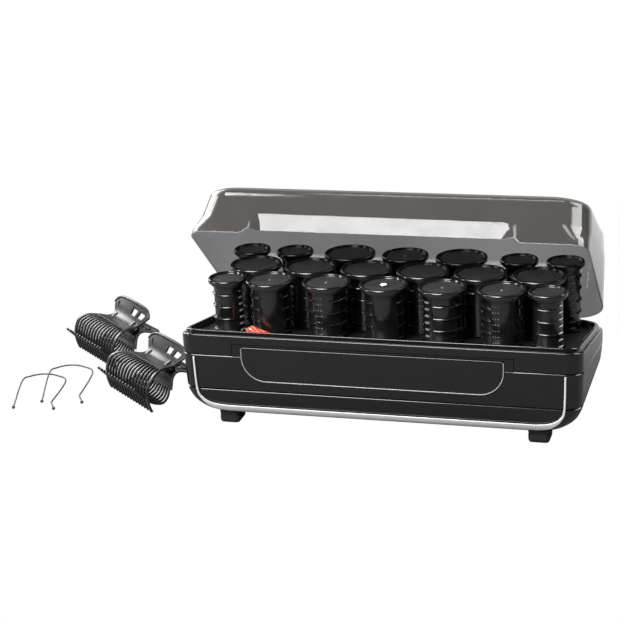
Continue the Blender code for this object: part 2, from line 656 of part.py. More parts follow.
clearScene()
PARTS = newCollection("heated_roller_set")
CUTTERS = newCollection("cutters")
BLACK = material("gloss_black", (0.008, 0.008, 0.009), 0.22)
SATIN = material("satin_charcoal", (0.045, 0.046, 0.05), 0.42)
SILVER = material("silver_paint", (0.55, 0.56, 0.58), 0.32, 0.7)
SMOKED = material("smoked_clear", (0.30, 0.29, 0.28), 0.08, 0.0, 0.45)
STEEL = material("spring_steel", (0.45, 0.44, 0.42), 0.28, 1.0)
ALUMINIUM = material("heater_aluminium", (0.72, 0.72, 0.73), 0.35, 1.0)
RUBBER = material("black_rubber", (0.015, 0.015, 0.015), 0.7)
RED = material("red_lens", (0.75, 0.06, 0.02), 0.2)
CREAM = material("ready_cream", (0.82, 0.74, 0.68), 0.5)
MICA = material("mica_board", (0.55, 0.45, 0.32), 0.6)
IVORY = material("ivory_nylon", (0.78, 0.75, 0.66), 0.5)

bottomPan()
housing()
panelPlate("front_panel", 0.0, FRONT + 0.5, FRONT + 1.5 - GAP, BLACK, PARTS)
upperBezel()
trimBand()
feet()
caseScrews()
rollerDeck()
heaterPlate()
heaterParts()
switchParts()
cordInlet()
lid()
hingePins()
rollers()
clips()
wirePins()
smoothRound()
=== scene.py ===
import math

import bmesh
import bpy
from mathutils import Matrix, Vector


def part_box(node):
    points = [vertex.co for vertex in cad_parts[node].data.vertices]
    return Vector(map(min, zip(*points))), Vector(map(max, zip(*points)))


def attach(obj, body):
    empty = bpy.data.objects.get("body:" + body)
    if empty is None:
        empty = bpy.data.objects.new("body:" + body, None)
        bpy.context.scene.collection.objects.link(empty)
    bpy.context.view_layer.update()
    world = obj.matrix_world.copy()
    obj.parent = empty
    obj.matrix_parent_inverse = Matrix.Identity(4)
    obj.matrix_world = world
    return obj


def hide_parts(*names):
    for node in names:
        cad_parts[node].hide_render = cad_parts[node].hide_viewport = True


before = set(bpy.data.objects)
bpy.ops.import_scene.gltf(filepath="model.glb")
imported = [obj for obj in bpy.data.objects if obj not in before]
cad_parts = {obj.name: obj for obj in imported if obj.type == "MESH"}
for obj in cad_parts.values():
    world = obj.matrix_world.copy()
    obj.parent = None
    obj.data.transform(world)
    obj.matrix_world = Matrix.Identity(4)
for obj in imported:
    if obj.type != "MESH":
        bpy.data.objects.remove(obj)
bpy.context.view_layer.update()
print("frame loaded:", len(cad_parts), "nodes")

mm = 0.001
scene = bpy.context.scene
scene.view_settings.view_transform = "Standard"

# the base, read off its housing; the rim plane falls towards the hinge
housingLow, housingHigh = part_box("housing")
base = {
    "middleX": (housingLow[0] + housingHigh[0]) / 2,
    "front": housingLow[1],
    "rear": housingHigh[1],
    "half": (housingHigh[0] - housingLow[0]) / 2,
    "cornerFront": 11 * mm,
    "cornerRear": 25 * mm,
    "rimFront": 68.5 * mm,
    "rimTilt": math.radians(11),
    "seam": housingLow[2],
    "parting": 51.5 * mm,
    "partingFall": 0.143,
    "lip": 3 * mm,
    "gap": 0.3 * mm,
    "wall": 2.5 * mm,
    "edge": 0.35 * mm,
}


def rimZ(y, below=0.0):
    return base["rimFront"] - (y - base["front"]) * math.tan(base["rimTilt"]) - below


def partingZ(y):
    return base["parting"] - (y - base["front"]) * base["partingFall"]


def eased(table, at):
    # a smooth curve through a short table of (position, value)
    if at <= table[0][0]:
        return table[0][1]
    for i in range(len(table) - 1):
        x1, y1 = table[i]
        x2, y2 = table[i + 1]
        if at <= x2:
            x0, y0 = table[max(i - 1, 0)]
            x3, y3 = table[min(i + 2, len(table) - 1)]
            m1 = (y2 - y0) / (x2 - x0)
            m2 = (y3 - y1) / (x3 - x1)
            t = (at - x1) / (x2 - x1)
            span = x2 - x1
            return ((2 * t ** 3 - 3 * t ** 2 + 1) * y1 + (t ** 3 - 2 * t ** 2 + t) * m1 * span
                    + (3 * t ** 2 - 2 * t ** 3) * y2 + (t ** 3 - t ** 2) * m2 * span)
    return table[-1][1]


def smoothStep(low, high, at):
    t = min(1.0, max(0.0, (at - low) / (high - low)))
    return t * t * (3 - 2 * t)


class Value:
    # one shader number or colour that can be written in sums
    def __init__(self, finish, socket):
        self.finish = finish
        self.socket = socket

    def combine(self, operation, first, second):
        return self.finish.node("ShaderNodeMath", {"operation": operation}, {0: first, 1: second})

    def __add__(self, other):
        return self.combine("ADD", self, other)

    def __radd__(self, other):
        return self.combine("ADD", other, self)

    def __sub__(self, other):
        return self.combine("SUBTRACT", self, other)

    def __rsub__(self, other):
        return self.combine("SUBTRACT", other, self)

    def __mul__(self, other):
        return self.combine("MULTIPLY", self, other)

    def __rmul__(self, other):
        return self.combine("MULTIPLY", other, self)


class Finish:
    # a material and the one way that its nodes are made
    def __init__(self, name, **fixed):
        self.material = bpy.data.materials.new(name)
        self.material.use_nodes = True
        self.tree = self.material.node_tree
        self.shader = self.tree.nodes["Principled BSDF"]
        for socket, value in fixed.items():
            self.shader.inputs[socket.replace("_", " ")].default_value = value

    def node(self, kind, settings=None, sockets=None, out=0):
        made = self.tree.nodes.new(kind)
        for key, value in (settings or {}).items():
            setattr(made, key, value)
        for key, value in (sockets or {}).items():
            self.feed(made.inputs[key], value)
        return Value(self, made.outputs[out])

    def feed(self, socket, value):
        if isinstance(value, Value):
            self.tree.links.new(value.socket, socket)
        else:
            socket.default_value = value

    def set(self, **varying):
        for socket, value in varying.items():
            self.feed(self.shader.inputs[socket.replace("_", " ")], value)

    def place(self):
        return self.node("ShaderNodeTexCoord", out="Object")

    def noise(self, scale, detail=3.0, rough=0.5, place=None):
        return self.node("ShaderNodeTexNoise", {}, {
            "Vector": place or self.place(), "Scale": scale, "Detail": detail, "Roughness": rough}, out="Fac")

    def mix(self, factor, first, second):
        sockets = {"Factor": factor, 6: first, 7: second}
        return self.node("ShaderNodeMix", {"data_type": "RGBA"}, sockets, out=2)

    def limits(self, value, low, high, toLow, toHigh):
        return self.node("ShaderNodeMapRange", {"clamp": True}, {
            "Value": value, "From Min": low, "From Max": high, "To Min": toLow, "To Max": toHigh},
            out="Result")

    def bump(self, height, strength, distance):
        return self.node("ShaderNodeBump", {}, {"Height": height, "Strength": strength,
                                                "Distance": distance}, out="Normal")


def grey(level, warm=0.0, alpha=1.0):
    return (level * (1 + warm), level, level * (1 - warm), alpha)


def glossBlack():
    finish = Finish("glossBlackShell", Specular_IOR_Level=0.42, Coat_Roughness=0.04)
    cloud = finish.noise(28.0, 4.0)
    specks = finish.noise(900.0, 2.0)
    dust = finish.limits(specks, 0.66, 0.74, 0.0, 1.0)
    finish.set(Base_Color=finish.mix(dust * 0.35, grey(0.003), grey(0.014)),
               Roughness=finish.limits(cloud, 0.3, 0.7, 0.14, 0.22) + dust * 0.2,
               Coat_Weight=finish.limits(cloud, 0.35, 0.65, 0.04, 0.10),
               Normal=finish.bump(finish.noise(140.0, 2.0), 0.035, 0.0006))
    return finish.material


def deckBlack():
    finish = Finish("mouldedDeckBlack")
    grain = finish.noise(1500.0, 2.0)
    finish.set(Base_Color=finish.mix(finish.noise(40.0), grey(0.004), grey(0.010)),
               Roughness=finish.limits(grain, 0.3, 0.7, 0.30, 0.45),
               Normal=finish.bump(grain, 0.15, 0.0002))
    return finish.material


def rollerGloss():
    finish = Finish("rollerGlossBlack")
    cloud = finish.noise(90.0, 3.0)
    finish.set(Base_Color=finish.mix(cloud, grey(0.003), grey(0.008)),
               Roughness=finish.limits(cloud, 0.3, 0.7, 0.16, 0.28),
               Coat_Weight=finish.limits(finish.noise(400.0), 0.3, 0.7, 0.05, 0.3),
               Normal=finish.bump(finish.noise(500.0, 3.0), 0.08, 0.0003))
    return finish.material


def capMatte():
    finish = Finish("rollerCapMatte")
    grain = finish.noise(2600.0, 3.0)
    blotch = finish.noise(160.0, 3.0)
    mottle = finish.limits(blotch, 0.3, 0.7, 0, 1) * finish.limits(grain, 0.35, 0.7, 0.4, 1.0)
    finish.set(Base_Color=finish.mix(mottle, grey(0.005), grey(0.022)),
               Roughness=finish.limits(grain, 0.3, 0.7, 0.45, 0.65),
               Normal=finish.bump(grain, 0.6, 0.0003))
    return finish.material


def smokedClear():
    finish = Finish("smokedClear", IOR=1.5)
    cloud = finish.noise(9.0, 2.0)
    swirl = finish.noise(60.0, 4.0)
    finish.set(Base_Color=finish.mix(cloud, (0.030, 0.026, 0.023, 1), (0.045, 0.040, 0.036, 1)),
               Alpha=finish.limits(cloud, 0.3, 0.7, 0.56, 0.63),
               Roughness=finish.limits(swirl, 0.35, 0.7, 0.05, 0.14),
               Normal=finish.bump(swirl, 0.02, 0.0005))
    return finish.material


def clearEdge():
    finish = Finish("smokedEdge", IOR=1.5)
    cloud = finish.noise(50.0, 2.0)
    finish.set(Base_Color=finish.mix(cloud, (0.34, 0.34, 0.46, 1), (0.50, 0.50, 0.64, 1)),
               Roughness=finish.limits(cloud, 0.3, 0.7, 0.12, 0.22))
    return finish.material


def silverPaint():
    finish = Finish("silverPaint", Metallic=0.25)
    flake = finish.noise(4200.0, 2.0)
    cloud = finish.noise(30.0, 3.0)
    finish.set(Base_Color=finish.mix(flake, (0.50, 0.51, 0.53, 1), (0.74, 0.75, 0.78, 1)),
               Roughness=finish.limits(cloud, 0.3, 0.7, 0.28, 0.42),
               Normal=finish.bump(flake, 0.08, 0.0001))
    return finish.material


def clipCharcoal():
    finish = Finish("clipCharcoal", Coat_Roughness=0.25, Specular_IOR_Level=0.3)
    grain = finish.noise(1300.0, 3.0)
    cloud = finish.noise(60.0, 3.0)
    finish.set(Base_Color=finish.mix(cloud, (0.006, 0.0062, 0.007, 1), (0.016, 0.0165, 0.018, 1)),
               Roughness=finish.limits(grain, 0.3, 0.7, 0.32, 0.46),
               Coat_Weight=finish.limits(cloud, 0.3, 0.7, 0.04, 0.12),
               Normal=finish.bump(grain, 0.10, 0.0002))
    return finish.material


def metal(name, low, high, roughness, scale=700.0, metallic=1.0):
    finish = Finish(name, Metallic=metallic)
    place = finish.node("ShaderNodeMapping", {}, {"Vector": finish.place(), "Scale": (1.0, 1.0, 0.15)})
    streak = finish.noise(scale, 3.0, place=place)
    finish.set(Base_Color=finish.mix(streak, low, high),
               Roughness=finish.limits(streak, 0.3, 0.7, roughness, roughness + 0.16),
               Normal=finish.bump(streak, 0.12, 0.0002))
    return finish.material


def plain(name, low, high, roughness, grainScale=1200.0, bump=0.2):
    finish = Finish(name)
    grain = finish.noise(grainScale, 3.0)
    finish.set(Base_Color=finish.mix(finish.noise(80.0, 3.0), low, high),
               Roughness=finish.limits(grain, 0.3, 0.7, roughness, roughness + 0.12),
               Normal=finish.bump(grain, bump, 0.0002))
    return finish.material


def redLens():
    finish = Finish("redLens", IOR=1.5, Coat_Roughness=0.05, Emission_Strength=0.05)
    wave = finish.node("ShaderNodeTexWave", {"bands_direction": "DIAGONAL"}, {
        "Vector": finish.place(), "Scale": 150.0, "Distortion": 3.0, "Detail": 2.0}, out="Fac")
    streak = finish.limits(wave, 0.72, 0.95, 0.0, 1.0)
    colour = finish.mix(streak, (0.80, 0.045, 0.018, 1), (0.95, 0.30, 0.20, 1))
    finish.set(Base_Color=colour,
               Emission_Color=finish.mix(streak, (0.75, 0.03, 0.01, 1), (0.9, 0.35, 0.25, 1)),
               Roughness=finish.limits(finish.noise(300.0), 0.3, 0.7, 0.10, 0.22),
               Coat_Weight=finish.limits(streak, 0, 1, 0.4, 0.8),
               Normal=finish.bump(wave, 0.25, 0.0003))
    return finish.material


def readyCream():
    finish = Finish("readyCream")
    speck = finish.noise(1100.0, 3.0)
    finish.set(Base_Color=finish.mix(speck, (0.72, 0.60, 0.54, 1), (0.90, 0.82, 0.76, 1)),
               Roughness=finish.limits(speck, 0.3, 0.7, 0.35, 0.5),
               Normal=finish.bump(speck, 0.1, 0.0002))
    return finish.material


finishes = {
    "shell": glossBlack(), "deck": deckBlack(), "roller": rollerGloss(), "cap": capMatte(),
    "lid": smokedClear(), "lidEdge": clearEdge(), "silver": silverPaint(), "clip": clipCharcoal(),
    "steel": metal("platedSteel", (0.42, 0.41, 0.40, 1), (0.66, 0.65, 0.63, 1), 0.22),
    "spring": metal("springSteel", (0.30, 0.29, 0.28, 1), (0.52, 0.50, 0.48, 1), 0.24),
    "pin": metal("pinWire", (0.03, 0.029, 0.027, 1), (0.07, 0.067, 0.063, 1), 0.42, metallic=0.6),
    "aluminium": metal("heaterAluminium", (0.52, 0.52, 0.53, 1), (0.74, 0.74, 0.75, 1), 0.32, 300.0),
    # the teeth, dots and gate dots in lighter grey than the barrel: a painted highlight on black parts
    "tooth": plain("rollerToothTip", grey(0.06), grey(0.16), 0.15, 900.0, 0.05),
    # the panel's edge bead in lighter grey than the shell: a painted highlight on a black edge
    "line": plain("panelEdgePaintedHighlight", grey(0.16), grey(0.30), 0.25, 900.0, 0.05),
    "rubber": plain("blackRubber", grey(0.006), grey(0.014), 0.55, 900.0, 0.3),
    "mica": plain("micaBoard", (0.32, 0.24, 0.15, 1), (0.50, 0.40, 0.27, 1), 0.45, 250.0, 0.3),
    "ivory": plain("ivoryNylon", (0.62, 0.59, 0.50, 1), (0.74, 0.71, 0.62, 1), 0.40),
    "red": redLens(), "cream": readyCream(),
}
print("materials made:", len(finishes))


def finishMesh(bm, name, finish, sharp=38, keepNormals=False):
    if not keepNormals:
        bmesh.ops.recalc_face_normals(bm, faces=bm.faces)
        if bm.calc_volume(signed=True) < 0:
            bmesh.ops.reverse_faces(bm, faces=bm.faces)
    mesh = bpy.data.meshes.new(name)
    bm.to_mesh(mesh)
    bm.free()
    for one in finish if isinstance(finish, (list, tuple)) else [finish]:
        mesh.materials.append(one)
    mesh.shade_smooth()
    mesh.set_sharp_from_angle(angle=math.radians(sharp))
    piece = bpy.data.objects.new(name, mesh)
    scene.collection.objects.link(piece)
    return piece


def bevelled(piece, width, segments=3, angle=35):
    change = piece.modifiers.new("edges", "BEVEL")
    change.width = width
    change.segments = segments
    change.limit_method = "ANGLE"
    change.angle_limit = math.radians(angle)
    change.harden_normals = False
    return piece


def settle(piece, body, slot, *nodes):
    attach(piece, body)
    if nodes:
        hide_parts(*nodes)
    return piece


def carve(piece, bm, operation="DIFFERENCE"):
    # joins or cuts with another closed shape and keeps only the result
    bmesh.ops.recalc_face_normals(bm, faces=bm.faces)
    mesh = bpy.data.meshes.new("carver")
    bm.to_mesh(mesh)
    bm.free()
    tool = bpy.data.objects.new("carver", mesh)
    scene.collection.objects.link(tool)
    change = piece.modifiers.new("carve", "BOOLEAN")
    change.operation = operation
    change.object = tool
    change.solver = "EXACT"
    bpy.context.view_layer.update()
    done = bpy.data.meshes.new_from_object(piece.evaluated_get(bpy.context.evaluated_depsgraph_get()))
    piece.modifiers.remove(change)
    old = piece.data
    piece.data = done
    done.name = piece.name
    bpy.data.meshes.remove(old)
    bpy.data.objects.remove(tool)
    return piece


def resharpen(piece, sharp=38):
    piece.data.shade_smooth()
    piece.data.set_sharp_from_angle(angle=math.radians(sharp))
    return piece


def boxBm(low, high, bm=None):
    bm = bm or bmesh.new()
    made = bmesh.ops.create_cube(bm, size=1.0)
    bmesh.ops.scale(bm, vec=[b - a for a, b in zip(low, high)], verts=made["verts"])
    bmesh.ops.translate(bm, vec=[(a + b) / 2 for a, b in zip(low, high)], verts=made["verts"])
    return bm


def rodBm(middle, radius, length, axis="Z", steps=32, bm=None, radius2=None):
    bm = bm or bmesh.new()
    turn = {"X": Matrix.Rotation(math.pi / 2, 4, "Y"), "Y": Matrix.Rotation(math.pi / 2, 4, "X"),
            "Z": Matrix.Identity(4)}[axis]
    bmesh.ops.create_cone(bm, cap_ends=True, segments=steps, depth=length, radius1=radius,
                          radius2=radius if radius2 is None else radius2,
                          matrix=Matrix.Translation(middle) @ turn)
    return bm


def shellLoop(bm, side, front, rear, z, cornerFront=None, cornerRear=None, cuts=0, segments=10):
    # a rounded rectangle of edges, drawn in from the base's outline by its three insets
    half = base["half"] - side
    y0, y1 = base["front"] + front, base["rear"] - rear
    shrink = min(side, front, rear) * 0.6
    if cornerFront is None:
        cornerFront, cornerRear = base["cornerFront"] - shrink, base["cornerRear"] - shrink
    flat = bmesh.new()
    corners = [flat.verts.new((base["middleX"] + sx * half, y, 0)) for sx, y in
               ((-1, y0), (1, y0), (1, y1), (-1, y1))]
    flat.faces.new(corners)
    for pair, radius in ((corners[:2], cornerFront), (corners[2:], cornerRear)):
        bmesh.ops.bevel(flat, geom=pair, offset=radius, offset_type="OFFSET", segments=segments,
                        profile=0.5, affect="VERTICES", material=-1)
    flat.faces.ensure_lookup_table()
    face = flat.faces[0]
    if cuts:
        fronts = [e for e in face.edges if all(abs(v.co.y - y0) < 1e-6 for v in e.verts)]
        longest = max(fronts, key=lambda e: e.calc_length())
        bmesh.ops.subdivide_edges(flat, edges=[longest], cuts=cuts)
        flat.faces.ensure_lookup_table()
        face = flat.faces[0]
    return takeLoop(bm, flat, face, y0, z)


def takeLoop(bm, flat, face, frontY, z):
    # the flat face's corners as a loop of bm, in order from the left end of its front side, at height z
    spots = [(v.co.x, v.co.y) for v in face.verts]
    flat.free()
    start = spots.index(min(p for p in spots if abs(p[1] - frontY) < 1e-6))
    return [bm.verts.new((x, y, z(y) if callable(z) else z)) for x, y in spots[start:] + spots[:start]]


def bridge(bm, loops, closed=False):
    for first, second in zip(loops, loops[1:] + (loops[:1] if closed else [])):
        for i in range(len(first)):
            j = (i + 1) % len(first)
            bm.faces.new((first[i], first[j], second[j], second[i]))
    return bm


# how far the walls draw in with height
sideCurve = {
    "side": [(9.0, 21.0), (11.5, 14.0), (15.5, 7.5), (20.0, 3.6), (27.0, 1.0), (51.5, 0.0)],
    "front": [(9.0, 7.5), (11.5, 4.6), (15.5, 2.6), (20.0, 1.4), (27.0, 0.5), (51.5, 0.0)],
    "rear": [(9.0, 13.0), (11.5, 8.5), (15.5, 5.0), (20.0, 2.6), (27.0, 1.0), (51.5, 0.0)],
}


def insets(z, more=0.0):
    return [eased(sideCurve[key], z / mm) * mm + more for key in ("side", "front", "rear")]


pan = {"heights": (9.0, 9.35, 9.9, 10.7, 11.7, 12.9, 14.4, 16.2, 18.4, 21.0, 24.0, 26.7, 27.0),
       "screwX": 84 * mm, "screwY": (-39 * mm, 31 * mm), "screwHole": 1.8 * mm, "floor": 11.6,
       "cordHole": 4.8 * mm}


def bottomPan():
    bm = bmesh.new()
    outer = [shellLoop(bm, *insets(z * mm, base["edge"] if z == pan["heights"][-1] else 0.0), z * mm)
             for z in pan["heights"]]
    inner = [shellLoop(bm, *insets(z * mm, base["wall"]), max(z, pan["floor"]) * mm)
             for z in reversed(pan["heights"]) if z > pan["floor"] - 1]
    bridge(bm, outer + inner)
    bm.faces.new(outer[0])
    bm.faces.new(inner[-1])
    piece = finishMesh(bm, "bottomPanShell", finishes["shell"])
    middleY = (base["front"] + base["rear"]) / 2
    for x in (-pan["screwX"], pan["screwX"]):
        for y in pan["screwY"]:
            carve(piece, rodBm((base["middleX"] + x, middleY + y, 10 * mm), pan["screwHole"], 30 * mm))
    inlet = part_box("cord_inlet")
    carve(piece, rodBm(((inlet[0][0] + inlet[1][0]) / 2, base["rear"], (inlet[0][2] + inlet[1][2]) / 2),
                       pan["cordHole"], 20 * mm, "Y"))
    return settle(resharpen(piece), "base", "housing_gloss_black", "bottom_pan")


def housing():
    bm = bmesh.new()
    low, top = base["seam"] + base["gap"], base["gap"]
    outer = []
    for share in (0.0, 0.015, 0.1, 0.25, 0.42, 0.6, 0.8):
        def level(y, t=share):
            return low * (1 - t) + (partingZ(y) - top - 0.4 * mm) * t
        edge = 0.0 if share else base["edge"]
        heights = [level(y) for y in ((base["front"] + base["rear"]) / 2, base["front"], base["rear"])]
        outer.append(shellLoop(bm, *[insets(z, edge)[i] for i, z in enumerate(heights)], level))
    outer.append(shellLoop(bm, 0, 0, 0, lambda y: partingZ(y) - top - 0.4 * mm))
    outer.append(shellLoop(bm, *[base["edge"]] * 3, lambda y: partingZ(y) - top))
    inner = [shellLoop(bm, *[base["wall"]] * 3, lambda y: partingZ(y) - top),
             shellLoop(bm, *[base["wall"] + 1 * mm] * 3, low)]
    piece = finishMesh(bridge(bm, outer + inner, closed=True), "housingShell", finishes["shell"])
    middle = base["middleX"] + panel["middle"]
    low, high = base["front"] + 0.1 * mm, base["front"] + base["wall"] - 0.1 * mm
    carve(piece, boxBm((middle - panel["tabHalf"], low, panel["tabFoot"]),
                       (middle + panel["tabHalf"], high, panel["tabTop"])), "UNION")
    carve(piece, panelBm(panel["gap"], base["front"] - 2 * mm, base["front"] + panel["deep"]))
    return settle(resharpen(piece, 30), "base", "housing_gloss_black", "housing")


# the shield on the front, its top straight and its lower corners large
panel = {"middle": -3 * mm, "half": 87 * mm, "low": 34.5 * mm, "top": 57.9 * mm, "corner": 16 * mm,
         "stands": 0.55 * mm, "deep": 1.5 * mm, "gap": 0.45 * mm, "edge": 0.5 * mm, "tabHalf": 93 * mm,
         "tabFoot": 47 * mm, "tabTop": 59.5 * mm, "paintedHighlightBeadRadius": 0.38 * mm}


def panelBm(grow, yFront, yBack):
    bm = bmesh.new()
    middle = base["middleX"] + panel["middle"]
    half = panel["half"] + grow
    low, high = panel["low"] - grow, panel["top"] + grow
    corners = [bm.verts.new((middle + sx * half, yFront, z)) for sx, z in (
        (-1, low), (1, low), (1, high), (-1, high))]
    bm.faces.new(corners)
    bmesh.ops.bevel(bm, geom=corners[:2], offset=panel["corner"], offset_type="OFFSET", segments=14,
                    profile=0.5, affect="VERTICES", material=-1)
    bmesh.ops.bevel(bm, geom=[v for v in bm.verts if v.co.z > panel["top"]], offset=1.2 * mm,
                    offset_type="OFFSET", segments=4, profile=0.5, affect="VERTICES", material=-1)
    bm.faces.ensure_lookup_table()
    pushed = bmesh.ops.extrude_face_region(bm, geom=[bm.faces[0]])
    moved = [v for v in pushed["geom"] if isinstance(v, bmesh.types.BMVert)]
    bmesh.ops.translate(bm, vec=(0, yBack - yFront, 0), verts=moved)
    return bm


def frontPanel():
    bm = panelBm(0.0, base["front"] - panel["stands"], base["front"] + panel["deep"] - base["gap"])
    piece = bevelled(finishMesh(bm, "frontPanelShield", finishes["shell"]), panel["edge"], 3)
    settle(piece, "base", "housing_gloss_black", "front_panel")
    # the fine light line round the panel's sides and foot: a real thin bead, its lighter grey a painted
    # highlight
    middle = base["middleX"] + panel["middle"]
    y, radius = base["front"] - panel["stands"] * 0.75, panel["corner"]
    left, low = middle - panel["half"] + 0.25 * mm, panel["low"] + 0.25 * mm
    path = [Vector((left, y, panel["top"] - 0.8 * mm))]
    for i in range(13):
        a = math.pi * (1 + i / 24)
        path.append(Vector((left + radius + radius * math.cos(a), y, low + radius + radius * math.sin(a))))
    path += [Vector((2 * middle - at.x, y, at.z)) for at in reversed(path)]
    line = finishMesh(tubeBm(path, panel["paintedHighlightBeadRadius"]), "panelBeadPaintedHighlight", finishes["line"], 60)
    return settle(line, "base", "housing_gloss_black", "front_panel")


# (inset, how far below the rim) round the bezel from the parting line, over the lip, to the deck's ledge
bezelCurve = [(0.0, 3.95), (0.07, 3.6), (0.28, 3.28), (0.6, 3.07), (0.95, 3.0), (1.95, 3.0), (2.2, 2.9),
              (2.3, 2.6), (2.5, 0.95), (2.58, 0.6), (2.78, 0.27), (3.1, 0.06), (3.5, 0.0), (4.3, 0.0),
              (4.65, 0.1), (4.85, 0.4), (4.95, 0.8), (5.0, 6.8), (8.2, 6.8), (8.2, 8.8), (2.5, 8.8)]
hinge = {"y": base["rear"] + 3.6 * mm, "z": rimZ(base["rear"], base["lip"]) + 0.5 * mm,
         "xs": (-75 * mm, 75 * mm), "eye": 3 * mm, "bore": 1.5 * mm}


def upperBezel():
    bm = bmesh.new()
    loops = [shellLoop(bm, *[base["edge"]] * 3, partingZ),
             shellLoop(bm, 0, 0, 0, lambda y: partingZ(y) + 0.4 * mm)]
    for inset, below in bezelCurve:
        loops.append(shellLoop(bm, *[inset * mm] * 3, lambda y, d=below: rimZ(y, d * mm)))
    loops.append(shellLoop(bm, *[base["wall"]] * 3, partingZ))
    piece = finishMesh(bridge(bm, loops, closed=True), "bezelShell", finishes["shell"])
    middle, half = base["middleX"] + panel["middle"], panel["tabHalf"] + 0.4 * mm
    back, top = base["front"] + base["wall"] + base["gap"], panel["tabTop"] + 0.4 * mm
    carve(piece, boxBm((middle - half, base["front"] - 2 * mm, 40 * mm), (middle + half, back, top)))
    for x in hinge["xs"]:
        for side in (-8 * mm, 8 * mm):
            middle = base["middleX"] + x + side
            web = boxBm((middle - 4 * mm, base["rear"] - 1.5 * mm, hinge["z"] - 7 * mm),
                        (middle + 4 * mm, hinge["y"], hinge["z"] - 1 * mm))
            carve(piece, web, "UNION")
            carve(piece, rodBm((middle, hinge["y"], hinge["z"]), hinge["eye"], 8 * mm, "X", 28), "UNION")
        carve(piece, rodBm((base["middleX"] + x, hinge["y"], hinge["z"]), hinge["bore"], 30 * mm, "X", 20))
    return settle(resharpen(piece, 30), "base", "housing_gloss_black", "upper_bezel")


rollerKinds = {"small": (12.8, 9.5), "medium": (16.0, 12.5), "large": (17.6, 14.0)}
rollers = {
    "topZ": 95.5 * mm, "footZ": 29.3 * mm, "steps": 64, "wall": 2.0, "holePlay": 1.2,
    "ribPitch": 8.2, "ribHigh": 1.05, "ribThick": 1.5, "firstRib": 10.5, "ribCount": 7,
    "toothPitch": 4.6, "toothWide": 3.7, "toothHigh": 1.3, "toothCount": 12, "dotPitch": 4.1,
    "firstTooth": 8.4, "dotSize": (0.75, 0.75, 0.4, 1.0),
    "gated": ("roller_front_2", "roller_front_3", "roller_front_5", "roller_front_6", "roller_back_4"),
}
# kind, then what its barrel shows on the near side: (shape, from, to) in degrees round it
ridgeSets = {
    "roller_front_1": ("small", -67.0, (("ribs", -100, 14), ("teeth", 52, 52))),
    "roller_front_2": ("medium", -70.0, (("ribs", -105, -36), ("ribs", 40, 105))),
    "roller_front_3": ("medium", -73.0, (("ribs", -95, -46), ("dots", -28, -28), ("ribs", 4, 78))),
    "roller_front_4": ("medium", -75.0, (("ribs", -100, -38), ("ribs", 36, 95))),
    "roller_front_5": ("medium", -77.0, (("teeth", -52, -52), ("ribs", -28, 58))),
    "roller_front_6": ("medium", -79.0, (("ribs", -100, -32), ("dots", -20, -20), ("ribs", 44, 95))),
    "roller_front_7": ("small", -81.0, (("ribs", -50, 34), ("teeth", 54, 54))),
}
otherSets = ((("ribs", -92, -30), ("teeth", -4, -4), ("ribs", 22, 84)),
             (("ribs", -70, 10), ("dots", 34, 34), ("teeth", 66, 66)))
otherRollers = {
    **{"roller_middle_%d" % (i + 1): "large" for i in range(6)},
    "roller_back_1": "small", "roller_back_2": "small", "roller_back_3": "large", "roller_back_4": "medium",
    "roller_back_5": "large", "roller_back_6": "small", "roller_back_7": "small",
}
for i, (name, kind) in enumerate(otherRollers.items()):
    ridgeSets[name] = (kind, -75.0 + 47.0 * i, otherSets[i % 2])


def spun(points, steps, angle=2 * math.pi, start=0.0, bm=None, material=0):
    # turns a line of (radius, z) points round the upright axis
    bm = bm or bmesh.new()
    before = set(bm.verts)
    line = [bm.verts.new((r * math.cos(start), r * math.sin(start), z)) for r, z in points]
    edges = [bm.edges.new(pair) for pair in zip(line, line[1:])]
    whole = abs(angle - 2 * math.pi) < 1e-6
    if not whole:
        edges.append(bm.edges.new((line[-1], line[0])))
    faces = set(bm.faces)
    bmesh.ops.spin(bm, geom=line + edges, cent=(0, 0, 0), axis=(0, 0, 1), angle=angle, steps=steps,
                   use_merge=whole)
    fresh = [v for v in bm.verts if v not in before]
    bmesh.ops.remove_doubles(bm, verts=fresh, dist=1e-6)
    for face in bm.faces:
        if face not in faces:
            face.material_index = material
    return bm


def rib(bm, radius, z, start, end):
    high, thick = rollers["ribHigh"], rollers["ribThick"] / 2
    section = [(radius - 0.6, z - thick), (radius + high * 0.75, z - thick * 0.8),
               (radius + high, z - thick * 0.4), (radius + high, z + thick * 0.4),
               (radius + high * 0.75, z + thick * 0.8), (radius - 0.6, z + thick)]
    steps = max(3, int(abs(end - start) / 7))
    known = set(bm.edges)
    spun([(r * mm, h * mm) for r, h in section], steps, math.radians(end - start), math.radians(start), bm)
    fresh = [e for e in bm.edges if e not in known and e.is_boundary]
    bmesh.ops.contextual_create(bm, geom=fresh[:len(section)])
    rest = [e for e in bm.edges if e not in known and e.is_boundary]
    if rest:
        bmesh.ops.holes_fill(bm, edges=rest, sides=len(section))


def tooth(bm, radius, z, at, wide, high, stands, thick=1.6):
    known = set(bm.faces)
    made = bmesh.ops.create_cube(bm, size=1.0)["verts"]
    bmesh.ops.scale(bm, vec=(thick * mm, wide * mm, high * mm), verts=made)
    edges = list({e for v in made for e in v.link_edges})
    cut = bmesh.ops.bevel(bm, geom=edges, offset=0.28 * mm, offset_type="OFFSET", segments=1, profile=0.5,
                          affect="EDGES", material=-1)
    moved = list({v for f in cut["faces"] for v in f.verts} | {v for v in made if v.is_valid})
    turn = Matrix.Rotation(math.radians(at), 4, "Z")
    bmesh.ops.transform(bm, matrix=turn @ Matrix.Translation(((radius + stands - thick / 2) * mm, 0, z * mm)),
                        verts=moved)
    for face in bm.faces:
        if face not in known:
            # slot 2: the lighter grey that paints the teeth's highlight
            face.material_index = 2


